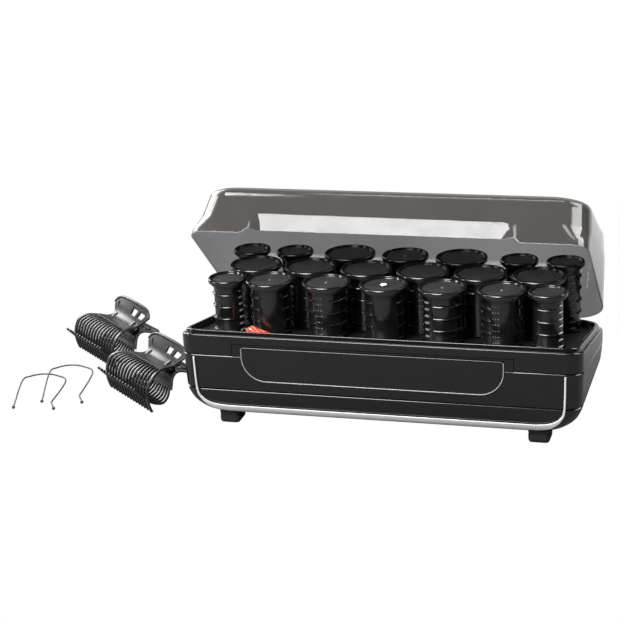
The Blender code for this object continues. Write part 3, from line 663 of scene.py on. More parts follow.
def roller(name):
    kind, facing, shapes = ridgeSets[name]
    flange, barrel = rollerKinds[kind]
    high = (rollers["topZ"] - rollers["footZ"]) / mm
    bore = barrel - rollers["wall"]
    cap = [(0.0, -1.4), (flange - 5.0, -1.4), (flange - 2.95, -1.4)]
    side = [(flange - 2.95, -1.4), (flange - 2.6, -1.32), (flange - 2.38, -1.0), (flange - 2.25, -0.4),
            (flange - 2.05, -0.1), (flange - 1.7, 0.0), (flange - 1.0, -0.02), (flange - 0.45, -0.16),
            (flange - 0.12, -0.5), (flange, -0.95), (flange, -2.6), (flange - 0.12, -3.0),
            (flange - 0.5, -3.2),
            (barrel + 1.7, -3.3), (barrel + 1.6, -3.5), (barrel + 1.6, -4.6), (barrel + 1.35, -4.9),
            (barrel + 0.4, -5.1), (barrel + 0.1, -5.3), (barrel, -5.7), (barrel, -30.0), (barrel, 0.5 - high),
            (barrel - 0.4, -high), (bore + 0.3, -high), (bore, 0.3 - high), (bore, -8.0), (0.0, -8.0)]
    bm = spun([(r * mm, (high + z) * mm) for r, z in cap], rollers["steps"], material=1)
    spun([(r * mm, (high + z) * mm) for r, z in side], rollers["steps"], bm=bm)
    bmesh.ops.remove_doubles(bm, verts=bm.verts, dist=1e-6)
    for half in (0, 180):
        for shape, start, end in shapes:
            if shape == "ribs":
                for i in range(rollers["ribCount"]):
                    z = high - rollers["firstRib"] - i * rollers["ribPitch"]
                    rib(bm, barrel, z, facing + half + start, facing + half + end)
            elif shape == "teeth":
                for i in range(rollers["toothCount"]):
                    z = high - rollers["firstTooth"] - i * rollers["toothPitch"]
                    tooth(bm, barrel, z, facing + half + start,
                          rollers["toothWide"], rollers["toothHigh"], rollers["ribHigh"])
            else:
                for i in range(rollers["toothCount"]):
                    for over in (-8, 0, 8):
                        z = high - rollers["firstTooth"] - i * rollers["dotPitch"]
                        tooth(bm, barrel, z, facing + half + start + over, *rollers["dotSize"])
    for i in range(5):
        angle = math.radians(facing + 20 + i * 72)
        out = flange - 3.9
        rodBm((out * math.cos(angle) * mm, out * math.sin(angle) * mm, (high - 1.3) * mm), 0.5 * mm, 0.5 * mm,
              steps=10, bm=bm)
    # the gate dot takes slot 2, a lighter grey that paints its glint
    if name in rollers["gated"]:
        spun([(0.0, (high - 0.75) * mm), (0.45 * mm, (high - 0.8) * mm), (0.8 * mm, (high - 1.0) * mm),
              (0.95 * mm, (high - 1.4) * mm)], 20, bm=bm, material=2)
    low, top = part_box(name)
    at = ((low[0] + top[0]) / 2, (low[1] + top[1]) / 2, rollers["footZ"])
    bmesh.ops.translate(bm, vec=at, verts=bm.verts)
    piece = finishMesh(bm, name.replace("roller_", "roller").title().replace("_", ""),
                       [finishes["roller"], finishes["cap"], finishes["tooth"]], 30)
    return settle(piece, name, "roller_black", name)


def readyDot():
    low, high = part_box("ready_dot")
    middle = [(a + b) / 2 for a, b in zip(low, high)]
    radius, z = (high[0] - low[0]) / 2, low[2]
    dome = spun([(0, z + 0.75 * mm), (1.2 * mm, z + 0.72 * mm), (2.0 * mm, z + 0.55 * mm),
                 (2.35 * mm, z + 0.2 * mm), (2.35 * mm, z), (0, z)], 40, material=0)
    spun([(2.45 * mm, z), (2.5 * mm, z + 0.45 * mm), (2.8 * mm, z + 0.6 * mm),
          (radius - 0.2 * mm, z + 0.45 * mm), (radius, z + 0.1 * mm), (radius, z), (2.45 * mm, z)],
         40, bm=dome, material=1)
    bmesh.ops.translate(dome, vec=(middle[0], middle[1], 0), verts=dome.verts)
    piece = finishMesh(dome, "readyDotLens", [finishes["cream"], finishes["roller"]])
    return settle(piece, "roller_front_4", "ready_cream", "ready_dot")


def rollerDeck():
    inset = 5.3 * mm
    bm = bmesh.new()
    loops = [shellLoop(bm, inset, inset, inset, lambda y: rimZ(y, 6.5 * mm)),
             shellLoop(bm, inset, inset, inset, lambda y: rimZ(y, 4.5 * mm))]
    bridge(bm, loops)
    for loop in loops:
        bm.faces.new(loop)
    piece = finishMesh(bm, "rollerDeckPlate", finishes["deck"])
    holes = bmesh.new()
    for name, (kind, facing, shapes) in ridgeSets.items():
        low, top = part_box(name)
        rodBm(((low[0] + top[0]) / 2, (low[1] + top[1]) / 2, 55 * mm),
              (rollerKinds[kind][1] + rollers["holePlay"]) * mm, 60 * mm, steps=48, bm=holes)
    carve(piece, holes)
    low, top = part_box("switch_rocker")
    play = Vector((0.9 * mm, 0.8 * mm, 0))
    carve(piece, boxBm((*(low - play)[:2], 50 * mm), (*(top + play)[:2], 80 * mm)))
    return settle(bevelled(resharpen(piece), 0.35 * mm, 2, 50), "base", "deck_black", "roller_deck")


# the lid, drawn shut, then swung open about its hinge
lid = {"wall": 1.2 * mm, "leanFrom": 65.5 * mm, "lean": 0.4035, "open": math.radians(31), "top": 101.0,
       "gripTop": 80.0, "edgeHigh": 7.0,
       "gripMiddle": -3 * mm, "gripHalf": 84 * mm, "gripSoft": 4.5 * mm, "gripAt": 4.4 * mm,
       "gripLean": 1.5 * mm,
       "gripLift": 3.4 * mm,
       "liftSoft": 5 * mm,
       "frontCuts": 57, "cornerFront": 20 * mm, "cornerRear": 22 * mm, "rimEdge": 0.5 * mm}


def lidFront(z):
    return lid["lean"] * (z - lid["leanFrom"])


def lidLoop(bm, side, front, rear, z, grip=0.0, lift=0.0, rounding=1.0):
    # at the rim the corners are the bezel's, and the walls above are rounder
    corners = [a + (b - a) * rounding for a, b in (
        (base["cornerFront"], lid["cornerFront"]), (base["cornerRear"], lid["cornerRear"]))]
    loop = shellLoop(bm, side, front, rear, z, *corners, lid["frontCuts"], 12)
    y = base["front"] + front
    along = sorted((v for v in loop if abs(v.co.y - y) < 1e-6), key=lambda v: v.co.x)
    inside = along[1:-1]
    middle, half = base["middleX"] + lid["gripMiddle"], lid["gripHalf"]
    ends = [-half - lid["gripSoft"] - lid["liftSoft"] * i / 4 for i in (4, 3, 2, 1)]
    ends += [-half + lid["gripSoft"] * (i - 4) / 4 for i in range(9)]
    inner = len(inside) - 2 * len(ends)
    span = -ends[-1] * 2
    spots = ends + [ends[-1] + span * (i + 1) / (inner + 1) for i in range(inner)]
    spots += [-e for e in reversed(ends)]
    zOf = z if callable(z) else lambda y: z
    for v, spot in zip(inside, spots):
        v.co.x = middle + spot
        share = 1 - smoothStep(half - lid["gripSoft"], half + lid["gripSoft"], abs(spot))
        v.co.y = y + grip * share
        edge = half + lid["gripSoft"]
        v.co.z = zOf(v.co.y) + lift * (1 - smoothStep(edge, edge + lid["liftSoft"], abs(spot)))
    return loop


def lidShell():
    bm = bmesh.new()
    rimAt = -base["lip"] + base["gap"]
    loops = []
    gripTop, edge = lid["gripTop"], lid["top"] - lid["edgeHigh"]
    first, last = (0.3, 0.3, 0.3), (1.8, lidFront(gripTop * mm) / mm, 1.6)
    for share in (0.0, 0.03, 0.1, 0.3, 0.5, 0.7, 0.85, 0.93, 1.0):
        side, front, rear = [(a + (b - a) * share) * mm for a, b in zip(first, last)]

        def level(y, t=share):
            return (rimZ(y) + rimAt) * (1 - t) + gripTop * mm * t
        grip = max(0.0, lid["gripAt"] + lid["gripLean"] * share - front)
        rounding = max(0.0, share - 0.3) / 0.7
        loops.append(lidLoop(bm, side, front, rear, level, grip, lid["gripLift"] * (1 - share), rounding))
    for z in (80.8, 82.0, 86.0, 90.0, 93.0):
        t = (z - gripTop) / (edge - gripTop)
        loops.append(lidLoop(bm, (1.8 + 1.6 * t) * mm, lidFront(z * mm), (1.6 + 1.6 * t) * mm, z * mm))
    for i in range(9):
        a = math.radians(90 * i / 8)
        z = lid["top"] - lid["edgeHigh"] * (1 - math.sin(a))
        inward = 7.4 * (1 - math.cos(a))
        side = 3.4 + inward
        front = lidFront(edge * mm) / mm + inward + 0.6 * math.sin(a)
        loops.append(lidLoop(bm, side * mm, front * mm, (3.2 + inward) * mm, z * mm))
    bridge(bm, loops)
    bm.faces.new(loops[-1])
    bmesh.ops.recalc_face_normals(bm, faces=bm.faces)
    top = max(bm.faces, key=lambda f: f.calc_center_median().z)
    if top.normal.z < 0:
        bmesh.ops.reverse_faces(bm, faces=bm.faces)
    piece = finishMesh(bm, "smokedLid", [finishes["lid"], finishes["lidEdge"]], 28, keepNormals=True)
    thick = piece.modifiers.new("wall", "SOLIDIFY")
    thick.thickness = lid["wall"]
    thick.offset = -1
    thick.use_even_offset = True
    thick.material_offset_rim = 1
    bevelled(piece, lid["rimEdge"], 2, 50)
    piece.data.transform(lidSwing())
    return settle(piece, "lid", "smoked_clear", "lid")


def lidSwing():
    at = Vector((0, hinge["y"], hinge["z"]))
    return Matrix.Translation(at) @ Matrix.Rotation(-lid["open"], 4, "X") @ Matrix.Translation(-at)


def lidEars():
    # the two hinge ears that hang from the lid's rear rim
    bm = bmesh.new()
    for x in hinge["xs"]:
        middle = base["middleX"] + x
        boxBm((middle - 3.6 * mm, base["rear"] - 2.2 * mm, hinge["z"] + 1 * mm),
              (middle + 3.6 * mm, hinge["y"] + 1.5 * mm, hinge["z"] + 6 * mm), bm)
    piece = finishMesh(bm, "lidEars", finishes["lidEdge"])
    for x in hinge["xs"]:
        middle = base["middleX"] + x
        carve(piece, rodBm((middle, hinge["y"], hinge["z"]), hinge["eye"], 7.2 * mm, "X", 28), "UNION")
        carve(piece, rodBm((middle, hinge["y"], hinge["z"]), hinge["bore"], 12 * mm, "X", 20))
    piece.data.transform(lidSwing())
    return settle(bevelled(resharpen(piece), 0.3 * mm, 2, 50), "lid", "smoked_clear", "lid")


# how each jaw curves away from the clip's middle plane, how wide it is, and what is cut out of it
clip = {
    "at": {"clip_1": (-239.8, 44.9), "clip_2": (-185.8, -26.5)}, "shift": (72.0236, -16.1309),
    "turn": math.radians(-41), "axis": math.radians(-23), "hinge": (9.0, 21.5), "reach": 34.7, "half": 31.0,
    "tines": 15, "tineWide": 1.5, "cornerBack": 0.75, "sag": 2.4, "thick": 1.6, "eyeRadius": 3.4,
    "lugAt": {1: 14.0, -1: 11.0}, "pinRadius": 1.2, "pinLong": 31, "springRadius": 2.6, "springWire": 0.42,
    "springTurns": 5, "springLong": 12.0, "slotsFrom": 4.25, "rows": 5,
    "jaw": [(-14, 12.5), (-8, 8.6), (-2.5, 5.2), (2.5, 5.6), (8, 9), (14.5, 11.8), (21, 11.6), (26.5, 7.6),
            (30, 2)],
    "tips": {1: [(31.6, -4), (32, -9.5)], -1: [(32.4, -5), (34.6, -11.5)]}, "bead": 1.1,
    "halves": [27, 25.5, 20, 19.5, 23, 28, 31, 31, 31, 31, 31],
    "windows": ((-0.80, -0.68), (0.16, 0.44), (0.58, 0.86)), "windowRows": (0.75, 1.5),
}


def clipAt(name, t, n, w):
    c, s = math.cos(clip["axis"]), math.sin(clip["axis"])
    a = clip["hinge"][0] + t * c - n * s - clip["reach"]
    b = clip["hinge"][1] + t * s + n * c
    along = Vector((math.cos(clip["turn"]), math.sin(clip["turn"]), 0))
    across = Vector((along.y, -along.x, 0))
    start = Vector((clip["at"][name][0] + clip["shift"][0], clip["at"][name][1] + clip["shift"][1], b))
    return (start + along * w + across * a) * mm


def jawColumns(count):
    pitch = 2 / clip["tines"]
    wide = clip["tineWide"] / clip["half"] / 2
    columns = [-1.0]
    for i in range(count):
        middle = (i - (count - 1) / 2) * pitch
        columns += [middle - wide, middle + wide]
    if count % 2:
        columns[1] = -1.0
        columns[-1] = 1.0
        columns = columns[1:]
    else:
        columns.append(1.0)
    return columns


def jawTables(side):
    route = clip["jaw"] + clip["tips"][side]
    return [[(i, value) for i, value in enumerate(row)] for row in (
        [p[0] for p in route], [p[1] for p in route], clip["halves"])]


def jawPoint(name, tables, side, mark, u, inward=0.0):
    # the pad's corners are rounded off by drawing its first rows back at both ends
    back = max(0.0, 1 - mark) * abs(u) ** 7 * clip["cornerBack"]
    t, n, half = [eased(table, mark + back) for table in tables]
    sag = clip["sag"] * u * u * max(0.0, 1 - mark / 5)
    return clipAt(name, t + inward, side * (n - sag - inward), u * half)


def jaw(name, part, side):
    count = clip["tines"] if side > 0 else clip["tines"] - 1
    columns = jawColumns(count)
    tables, each = jawTables(side), clip["rows"]
    steps = (len(tables[0]) - 1) * each + 1
    marks = sorted({*[i / each for i in range(steps)], *clip["windowRows"], clip["slotsFrom"]})
    bm = bmesh.new()
    grid = [[bm.verts.new(jawPoint(name, tables, side, mark, u)) for u in columns] for mark in marks]
    first = 0 if count % 2 else 1
    for r in range(len(grid) - 1):
        mark = (marks[r] + marks[r + 1]) / 2
        for c in range(len(columns) - 1):
            u = (columns[c] + columns[c + 1]) / 2
            gap = (c - first) % 2 == 1 if c >= first else True
            if mark > clip["slotsFrom"] and gap:
                continue
            if clip["windowRows"][0] < mark < clip["windowRows"][1] and any(
                    low < u < high for low, high in clip["windows"]):
                continue
            corners = (grid[r][c], grid[r][c + 1], grid[r + 1][c + 1], grid[r + 1][c])
            bm.faces.new(corners if side > 0 else tuple(reversed(corners)))
    bmesh.ops.delete(bm, geom=[v for v in bm.verts if not v.link_faces], context="VERTS")
    piece = finishMesh(bm, part, finishes["clip"], 50, keepNormals=True)
    outward = clipAt(name, 5, side * 20, 0) - clipAt(name, 5, 0, 0)
    middleFace = min(piece.data.polygons, key=lambda p: (p.center - clipAt(name, 5, side * 7.5, 0)).length)
    if middleFace.normal.dot(outward) < 0:
        piece.data.flip_normals()
    thick = piece.modifiers.new("sheet", "SOLIDIFY")
    thick.thickness = clip["thick"] * mm
    thick.offset = -1
    thick.use_even_offset = False
    bevelled(piece, 0.4 * mm, 2, 40)
    return piece


def clipTurn(name):
    # carries a shape lying along X at the origin to the clip's pin
    return Matrix.Translation(clipAt(name, 0, 0, 0)) @ Matrix.Rotation(clip["turn"], 4, "Z")


def jawLugs(name, title, side):
    # the ears that take the pin, and the thick rolled edge of the finger pad
    bm = bmesh.new()
    for end in (-1, 1):
        w = end * clip["lugAt"][side]
        rodBm((w * mm, 0, 0), clip["eyeRadius"] * mm, 2.2 * mm, "X", 28, bm)
        web = bmesh.ops.create_cube(bm, size=1.0)["verts"]
        bmesh.ops.scale(bm, vec=(2.0 * mm, 5.4 * mm, 5.0 * mm), verts=web)
        bmesh.ops.translate(bm, vec=(0, 0, side * 2.7 * mm), verts=web)
        tilt = Matrix.Translation((w * mm, 0, 0)) @ Matrix.Rotation(-clip["axis"], 4, "X")
        bmesh.ops.transform(bm, matrix=tilt, verts=web)
    bmesh.ops.transform(bm, matrix=clipTurn(name), verts=bm.verts)
    bead, steps, tables = clip["bead"], 36, jawTables(side)
    spine = [jawPoint(name, tables, side, 0.0, math.sin(math.pi * (i / steps - 0.5)), 0.75)
             for i in range(steps + 1)]
    inPad = (jawPoint(name, tables, side, 1.0, 0.0) - spine[steps // 2]).normalized()
    rings = []
    for i, middle in enumerate(spine):
        way = (spine[min(i + 1, steps)] - spine[max(i - 1, 0)]).normalized()
        one = inPad.cross(way).normalized()
        two = way.cross(one)
        radius = bead if 0 < i < steps else bead * 0.4
        rings.append([bm.verts.new(middle + (one * math.cos(a) + two * math.sin(a)) * radius * mm)
                      for a in [2 * math.pi * k / 12 for k in range(12)]])
    bridge(bm, rings)
    bm.faces.new(rings[0])
    bm.faces.new(rings[-1])
    return finishMesh(bm, title + "Lugs", finishes["clip"], 35)


def clipSpring(name):
    bm = bmesh.new()
    made = bmesh.ops.create_circle(bm, cap_ends=False, radius=clip["springWire"] * mm, segments=10)["verts"]
    start = Matrix.Translation((-clip["springLong"] / 2 * mm, clip["springRadius"] * mm, 0))
    bmesh.ops.transform(bm, matrix=start @ Matrix.Rotation(math.pi / 2, 4, "Y"), verts=made)
    turns, each = clip["springTurns"], 28
    bmesh.ops.spin(bm, geom=list(bm.verts) + list(bm.edges), cent=(0, 0, 0), axis=(1, 0, 0),
                   angle=2 * math.pi * turns, steps=turns * each,
                   dvec=(clip["springLong"] / (turns * each) * mm, 0, 0))
    ends = [e for e in bm.edges if e.is_boundary]
    bmesh.ops.holes_fill(bm, edges=ends, sides=12)
    bmesh.ops.transform(bm, matrix=clipTurn(name), verts=bm.verts)
    piece = finishMesh(bm, name.title().replace("_", "") + "Spring", finishes["spring"], 60)
    return settle(piece, name, "spring_steel", name + "_spring")


def clips():
    for name in clip["at"]:
        for side, part, body in ((1, "_jaw_upper", name + "_upper"), (-1, "_jaw_lower", name)):
            title = name.title().replace("_", "") + part.title().replace("_", "")
            settle(jaw(name, title, side), body, "clip_charcoal", name + part)
            lugs = bevelled(jawLugs(name, title, side), 0.25 * mm, 2, 50)
            settle(lugs, body, "clip_charcoal", name + part)
        clipSpring(name)
        bm = rodBm((0, 0, 0), clip["pinRadius"] * mm, clip["pinLong"] * mm, "X", 24)
        rodBm((-15.6 * mm, 0, 0), 1.9 * mm, 0.7 * mm, "X", 24, bm)
        bmesh.ops.transform(bm, matrix=clipTurn(name), verts=bm.verts)
        pin = bevelled(finishMesh(bm, name.title().replace("_", "") + "Pin", finishes["steel"]), 0.15 * mm, 2)
        settle(pin, name, "plated_steel", name + "_hinge_pin")


pin = {"wire": 0.55 * mm, "ball": 1.2 * mm, "each": 10,
       "at": {"wire_pin_1": (0.0, 0.0, 0.0), "wire_pin_2": (15.5, 13.5, 2.6)},
       "route": [(-262.0, -54.5), (-276.5, -8.0), (-274.5, 2.0), (-266.0, 7.8), (-254.8, 6.0), (-244.6, -3.6),
                 (-239.0, -42.0), (-233.0, -51.8)]}


def smoothRoute(points, each):
    ends = [points[0]] + points + [points[-1]]
    out = []
    for p0, p1, p2, p3 in zip(ends, ends[1:], ends[2:], ends[3:]):
        for i in range(each):
            t = i / each
            out.append(0.5 * ((2 * p1) + (p2 - p0) * t + (2 * p0 - 5 * p1 + 4 * p2 - p3) * t * t
                              + (3 * p1 - p0 - 3 * p2 + p3) * t ** 3))
    return out + [points[-1]]


def tubeBm(path, radius):
    curve = bpy.data.curves.new("tube", "CURVE")
    curve.dimensions = "3D"
    curve.bevel_depth = radius
    curve.bevel_resolution = 3
    curve.use_fill_caps = True
    spline = curve.splines.new("POLY")
    spline.points.add(len(path) - 1)
    for point, at in zip(spline.points, path):
        point.co = (*at, 1.0)
    draft = bpy.data.objects.new("tube", curve)
    scene.collection.objects.link(draft)
    bpy.context.view_layer.update()
    bm = bmesh.new()
    drawn = bpy.data.meshes.new_from_object(draft.evaluated_get(bpy.context.evaluated_depsgraph_get()))
    bm.from_mesh(drawn)
    bpy.data.objects.remove(draft)
    bpy.data.curves.remove(curve)
    bpy.data.meshes.remove(drawn)
    bmesh.ops.remove_doubles(bm, verts=bm.verts, dist=1e-6)
    return bm


def wirePins():
    near, far = pin["route"][0][1], max(y for x, y in pin["route"])
    for name, (dx, dy, rise) in pin["at"].items():
        shift = (dx + clip["shift"][0], dy + clip["shift"][1])
        slope, ball = rise / (far - near), pin["ball"] / mm
        corners = [Vector((x + shift[0], y + shift[1], ball + slope * (y - near))) * mm
                   for x, y in pin["route"]]
        path = smoothRoute(corners[:7], pin["each"]) + corners[7:]
        bm = tubeBm(path, pin["wire"])
        for at in (path[0], path[-1]):
            tip = bmesh.ops.create_uvsphere(bm, u_segments=20, v_segments=14, radius=pin["ball"])["verts"]
            bmesh.ops.translate(bm, vec=at, verts=tip)
        piece = finishMesh(bm, name.title().replace("_", ""), finishes["pin"], 60)
        settle(piece, name, "pin_wire", name)


trim = {"spine": [(-123.4, 50.0, 1.2), (-122.6, 27.0, 1.3), (-120.2, 20.0, 2.0), (-116.4, 15.5, 3.2),
                  (-111.0, 12.2, 4.4), (-103.0, 10.8, 4.8)], "across": (-60, 0, 60), "each": 5,
        "back": 0.4, "stands": 0.75, "dome": 0.25}


def trimBand():
    half = smoothRoute([Vector(p) for p in trim["spine"]], trim["each"])
    spine = half + [Vector((x, *half[-1][1:])) for x in trim["across"]]
    spine += [Vector((-x, z, w)) for x, z, w in reversed(half)]
    bm = bmesh.new()
    rings = []
    for i, (x, z, wide) in enumerate(spine):
        before, after = spine[max(i - 1, 0)], spine[min(i + 1, len(spine) - 1)]
        way = Vector((after[0] - before[0], after[1] - before[1])).normalized()
        ring = []
        for out, shares in ((1.0, (0.0, 0.15, 0.5, 0.85, 1.0)), (0.0, (1.0, 0.67, 0.33, 0.0))):
            for t in shares:
                px, pz = x - way.y * wide * t, z + way.x * wide * t
                dome = trim["dome"] * (1 - (2 * t - 1) ** 2) if out else 0.0
                stands = trim["back"] + trim["stands"] * out + dome
                y = base["front"] + insets(pz * mm)[1] - stands * mm
                ring.append(bm.verts.new((base["middleX"] + px * mm, y, pz * mm)))
        rings.append(ring)
    bridge(bm, rings)
    bm.faces.new(rings[0])
    bm.faces.new(rings[-1])
    piece = bevelled(finishMesh(bm, "silverTrimBand", finishes["silver"], 40), 0.18 * mm, 2, 50)
    return settle(piece, "base", "silver_trim", "trim_band")


# each foot's levels from the floor: (height, how far drawn in)
foot = {"corner": 3 * mm, "levels": ((0.0, 1.6), (0.35, 0.7), (1.1, 0.2), (2.6, 0.0), (5.2, 0.0), (5.5, 0.5),
                                     (6.2, 0.5), (6.5, 0.0))}


def feet():
    for name in ("foot_front_left", "foot_front_right", "foot_rear_left", "foot_rear_right"):
        low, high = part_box(name)
        bm = bmesh.new()
        loops = []
        for z, inset in foot["levels"] + ((high[2] / mm, 0.0),):
            inset *= mm
            flat = bmesh.new()
            corners = [flat.verts.new((x, y, 0)) for x, y in (
                (low[0] + inset, low[1] + inset), (high[0] - inset, low[1] + inset),
                (high[0] - inset, high[1] - inset), (low[0] + inset, high[1] - inset))]
            flat.faces.new(corners)
            bmesh.ops.bevel(flat, geom=corners, offset=foot["corner"] - inset, offset_type="OFFSET",
                            segments=6, profile=0.5, affect="VERTICES", material=-1)
            flat.faces.ensure_lookup_table()
            loops.append(takeLoop(bm, flat, flat.faces[0], low[1] + inset, z * mm))
        bridge(bm, loops)
        bm.faces.new(loops[0])
        bm.faces.new(loops[-1])
        piece = finishMesh(bm, name.title().replace("_", ""), finishes["rubber"], 30)
        settle(piece, "base", "black_rubber", name)


screw = {"recess": 1.1 * mm, "long": 3.4 * mm, "wide": 0.8 * mm, "shank": 1.35 * mm}


def screws():
    for i in range(1, 5):
        name = "case_screw_%d" % i
        low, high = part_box(name)
        radius, bottom, shank = (high[0] - low[0]) / 2, low[2], screw["shank"]
        tip = high[2] - bottom
        bm = spun([(0, 0.05 * mm), (radius * 0.5, 0.1 * mm), (radius * 0.8, 0.45 * mm),
                   (radius * 0.96, 1.0 * mm), (radius, 1.5 * mm), (radius * 0.97, 1.9 * mm),
                   (shank, 2.0 * mm), (shank, tip - 0.5 * mm), (1.0 * mm, tip), (0, tip)], 32)
        bmesh.ops.translate(bm, vec=((low[0] + high[0]) / 2, (low[1] + high[1]) / 2, bottom), verts=bm.verts)
        piece = finishMesh(bm, "caseScrew%d" % i, finishes["steel"])
        middle = Vector(((low[0] + high[0]) / 2, (low[1] + high[1]) / 2, bottom))
        for wide, long in ((screw["wide"], screw["long"]), (screw["long"], screw["wide"])):
            size = Vector((wide / 2, long / 2, screw["recess"]))
            carve(piece, boxBm(middle - size, middle + size))
        settle(resharpen(piece, 30), "base", "plated_steel", name)


rocker = {"half": 7.4,
          "curve": [(-7.4, 5.4), (-5.5, 6.5), (-3.5, 6.3), (0.0, 4.6), (3.5, 3.6), (5.6, 2.9), (7.4, 2.2)],
          "under": [(-7.4, 0.6), (-3.5, -0.4), (0.0, -1.2), (3.5, -0.4), (7.4, 0.6)], "steps": 22}


def rockerLens():
    low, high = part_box("switch_rocker")
    middle = Vector(((low[0] + high[0]) / 2, (low[1] + high[1]) / 2, 0))
    deckZ = rimZ(middle.y, 4.5 * mm)
    bm = bmesh.new()
    rings = []
    for i in range(rocker["steps"] + 1):
        dx = rocker["half"] * (2 * i / rocker["steps"] - 1)
        under, top = eased(rocker["under"], dx), eased(rocker["curve"], dx)
        if i % 3 == 1 and 0 < i < rocker["steps"]:
            top -= 0.22
        ring = [(-3.2, under), (3.2, under), (3.05, top - 0.8), (2.6, top - 0.25), (1.6, top), (-1.6, top),
                (-2.6, top - 0.25), (-3.05, top - 0.8)]
        rings.append([bm.verts.new((middle.x + dx * mm, middle.y + dy * mm, deckZ + z * mm))
                      for dy, z in ring])
    bridge(bm, rings)
    bm.faces.new(rings[0])
    bm.faces.new(rings[-1])
    piece = bevelled(finishMesh(bm, "rockerLens", finishes["red"], 25), 0.25 * mm, 2, 45)
    return settle(piece, "power_rocker", "red_lens", "switch_rocker")


def cordInlet():
    low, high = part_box("cord_inlet")
    middle, length = (low + high) / 2, (high[1] - low[1]) / mm
    bush = [(3.0, 0), (4.4, 0), (4.4, length - 3.6), (5.9, length - 3.0), (6.4, length - 2.4),
            (6.5, length - 1.2), (6.1, length - 0.4), (5.2, length), (3.6, length), (3.0, length - 0.6),
            (3.0, 0)]
    bm = spun([(r * mm, z * mm) for r, z in bush], 48)
    bmesh.ops.transform(bm, matrix=Matrix.Translation((middle.x, low[1], middle.z))
                        @ Matrix.Rotation(-math.pi / 2, 4, "X"), verts=bm.verts)
    piece = finishMesh(bm, "cordInletBush", finishes["rubber"], 35)
    return settle(piece, "base", "black_rubber", "cord_inlet")


bottomPan()
housing()
frontPanel()
upperBezel()
trimBand()
print("base made")
rollerDeck()
for name in ridgeSets:
    roller(name)
readyDot()
print("rollers made")
lidShell()
lidEars()
print("lid made")
clips()
wirePins()
print("clips and pins made")
feet()
screws()
rockerLens()
cordInlet()
print("small pieces made")

kept = {
    "heater_plate": "aluminium", "heating_element": "mica", "thermostat": "steel", "thermal_fuse": "steel",
    "terminal_block": "ivory", "switch_body": "deck", "hinge_pin_left": "steel", "hinge_pin_right": "steel",
}
for name, finish in kept.items():
    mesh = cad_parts[name].data
    mesh.materials.clear()
    mesh.materials.append(finishes[finish])

# the pale surroundings and the soft studio light
studio = {
    "floorSize": 12.0, "floorTone": 0.15, "behind": 1.0, "around": 0.06,
    "glowFrom": 0.15, "glowTo": 0.45, "floorGlow": 0.9,
    "camera": (0.35270, -1.13110, 0.47684), "right": (0.96020, 0.27472, -0.05051),
    "up": (-0.04630, 0.33487, 0.94113), "back": (0.27546, -0.90133, 0.33426), "lens": 105.84,
}


def makeFloor():
    bm = bmesh.new()
    bmesh.ops.create_grid(bm, x_segments=8, y_segments=8, size=studio["floorSize"] / 2)
    bmesh.ops.translate(bm, vec=(0, 0, -0.2 * mm), verts=bm.verts)
    finish = Finish("paleFloor", Roughness=1.0, Specular_IOR_Level=0.0, Emission_Strength=1.0)
    drift = finish.noise(0.8, 2.0)
    depth = finish.node("ShaderNodeSeparateXYZ", {}, {"Vector": finish.place()}, out="Y")
    rise = finish.limits(depth, studio["glowFrom"], studio["glowTo"], 0.0, 1.0)
    finish.set(Base_Color=finish.mix(drift, grey(studio["floorTone"] * 0.96), grey(studio["floorTone"])),
               Emission_Color=finish.mix(rise, grey(0.0), grey(studio["floorGlow"])))
    glow = finish.node("ShaderNodeEmission", {}, {"Color": grey(studio["behind"]), "Strength": 1.0})
    seen = finish.node("ShaderNodeLightPath", out="Is Camera Ray")
    lit = Value(finish, finish.shader.outputs[0])
    blend = finish.node("ShaderNodeMixShader", {}, {0: seen, 1: lit, 2: glow})
    finish.tree.links.new(blend.socket, finish.tree.nodes["Material Output"].inputs[0])
    floor = finishMesh(bm, "studioFloor", finish.material, keepNormals=True)


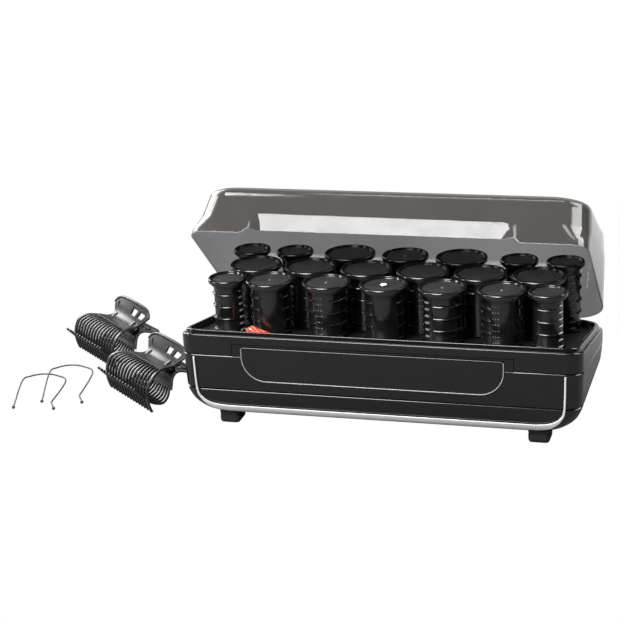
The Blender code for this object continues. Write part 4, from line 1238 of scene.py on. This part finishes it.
def makeWorld():
    world = bpy.data.worlds.new("studio")
    scene.world = world
    world.use_nodes = True
    nodes, links = world.node_tree.nodes, world.node_tree.links
    nodes.clear()
    rays = nodes.new("ShaderNodeLightPath")
    seen = nodes.new("ShaderNodeBackground")
    seen.inputs["Color"].default_value = grey(studio["behind"])
    dim = nodes.new("ShaderNodeBackground")
    dim.inputs["Color"].default_value = grey(studio["around"])
    blend = nodes.new("ShaderNodeMixShader")
    links.new(rays.outputs["Is Camera Ray"], blend.inputs[0])
    links.new(dim.outputs[0], blend.inputs[1])
    links.new(seen.outputs[0], blend.inputs[2])
    out = nodes.new("ShaderNodeOutputWorld")
    links.new(blend.outputs[0], out.inputs[0])


def makeLight(name, at, look, width, height, power, spread=180):
    data = bpy.data.lights.new(name, "AREA")
    data.shape = "RECTANGLE"
    data.size, data.size_y = width, height
    data.energy = power
    data.spread = math.radians(spread)
    lamp = bpy.data.objects.new(name, data)
    scene.collection.objects.link(lamp)
    lamp.location = at
    lamp.rotation_euler = (Vector(look) - Vector(at)).to_track_quat("-Z", "Y").to_euler()


def makeCamera():
    data = bpy.data.cameras.new("camera")
    data.lens = studio["lens"]
    data.sensor_width = 36.0
    data.dof.use_dof = False
    cam = bpy.data.objects.new("camera", data)
    scene.collection.objects.link(cam)
    turn = Matrix([studio["right"], studio["up"], studio["back"]]).transposed().to_4x4()
    cam.matrix_world = Matrix.Translation(studio["camera"]) @ turn
    scene.camera = cam


makeFloor()
makeWorld()
lights = {
    # name: (where, looks at, width, height, power)
    "overhead": ((0.05, 0.25, 1.6), (0.07, 0.0, 0.05), 0.9, 0.28, 8),
    "frontSoft": ((-0.48, -1.47, 1.43), (0.07, -0.03, 0.12), 1.05, 0.34, 40),
    "frontLine": ((-0.40, -0.62, 1.45), (0.07, -0.03, 0.08), 1.5, 0.45, 52),
    "leftBack": ((-0.97, 0.70, 0.57), (0.05, 0.0, 0.08), 0.7, 0.7, 18),
    "rightBack": ((0.91, 0.56, 1.00), (0.07, 0.0, 0.08), 0.7, 0.7, 20),
    "leftStrip": ((-1.2, -0.45, 0.45), (0.0, 0.0, 0.06), 0.10, 0.7, 7),
}
for name, (at, look, width, height, power) in lights.items():
    makeLight(name, at, look, width, height, power)
makeCamera()
print("scene ready")
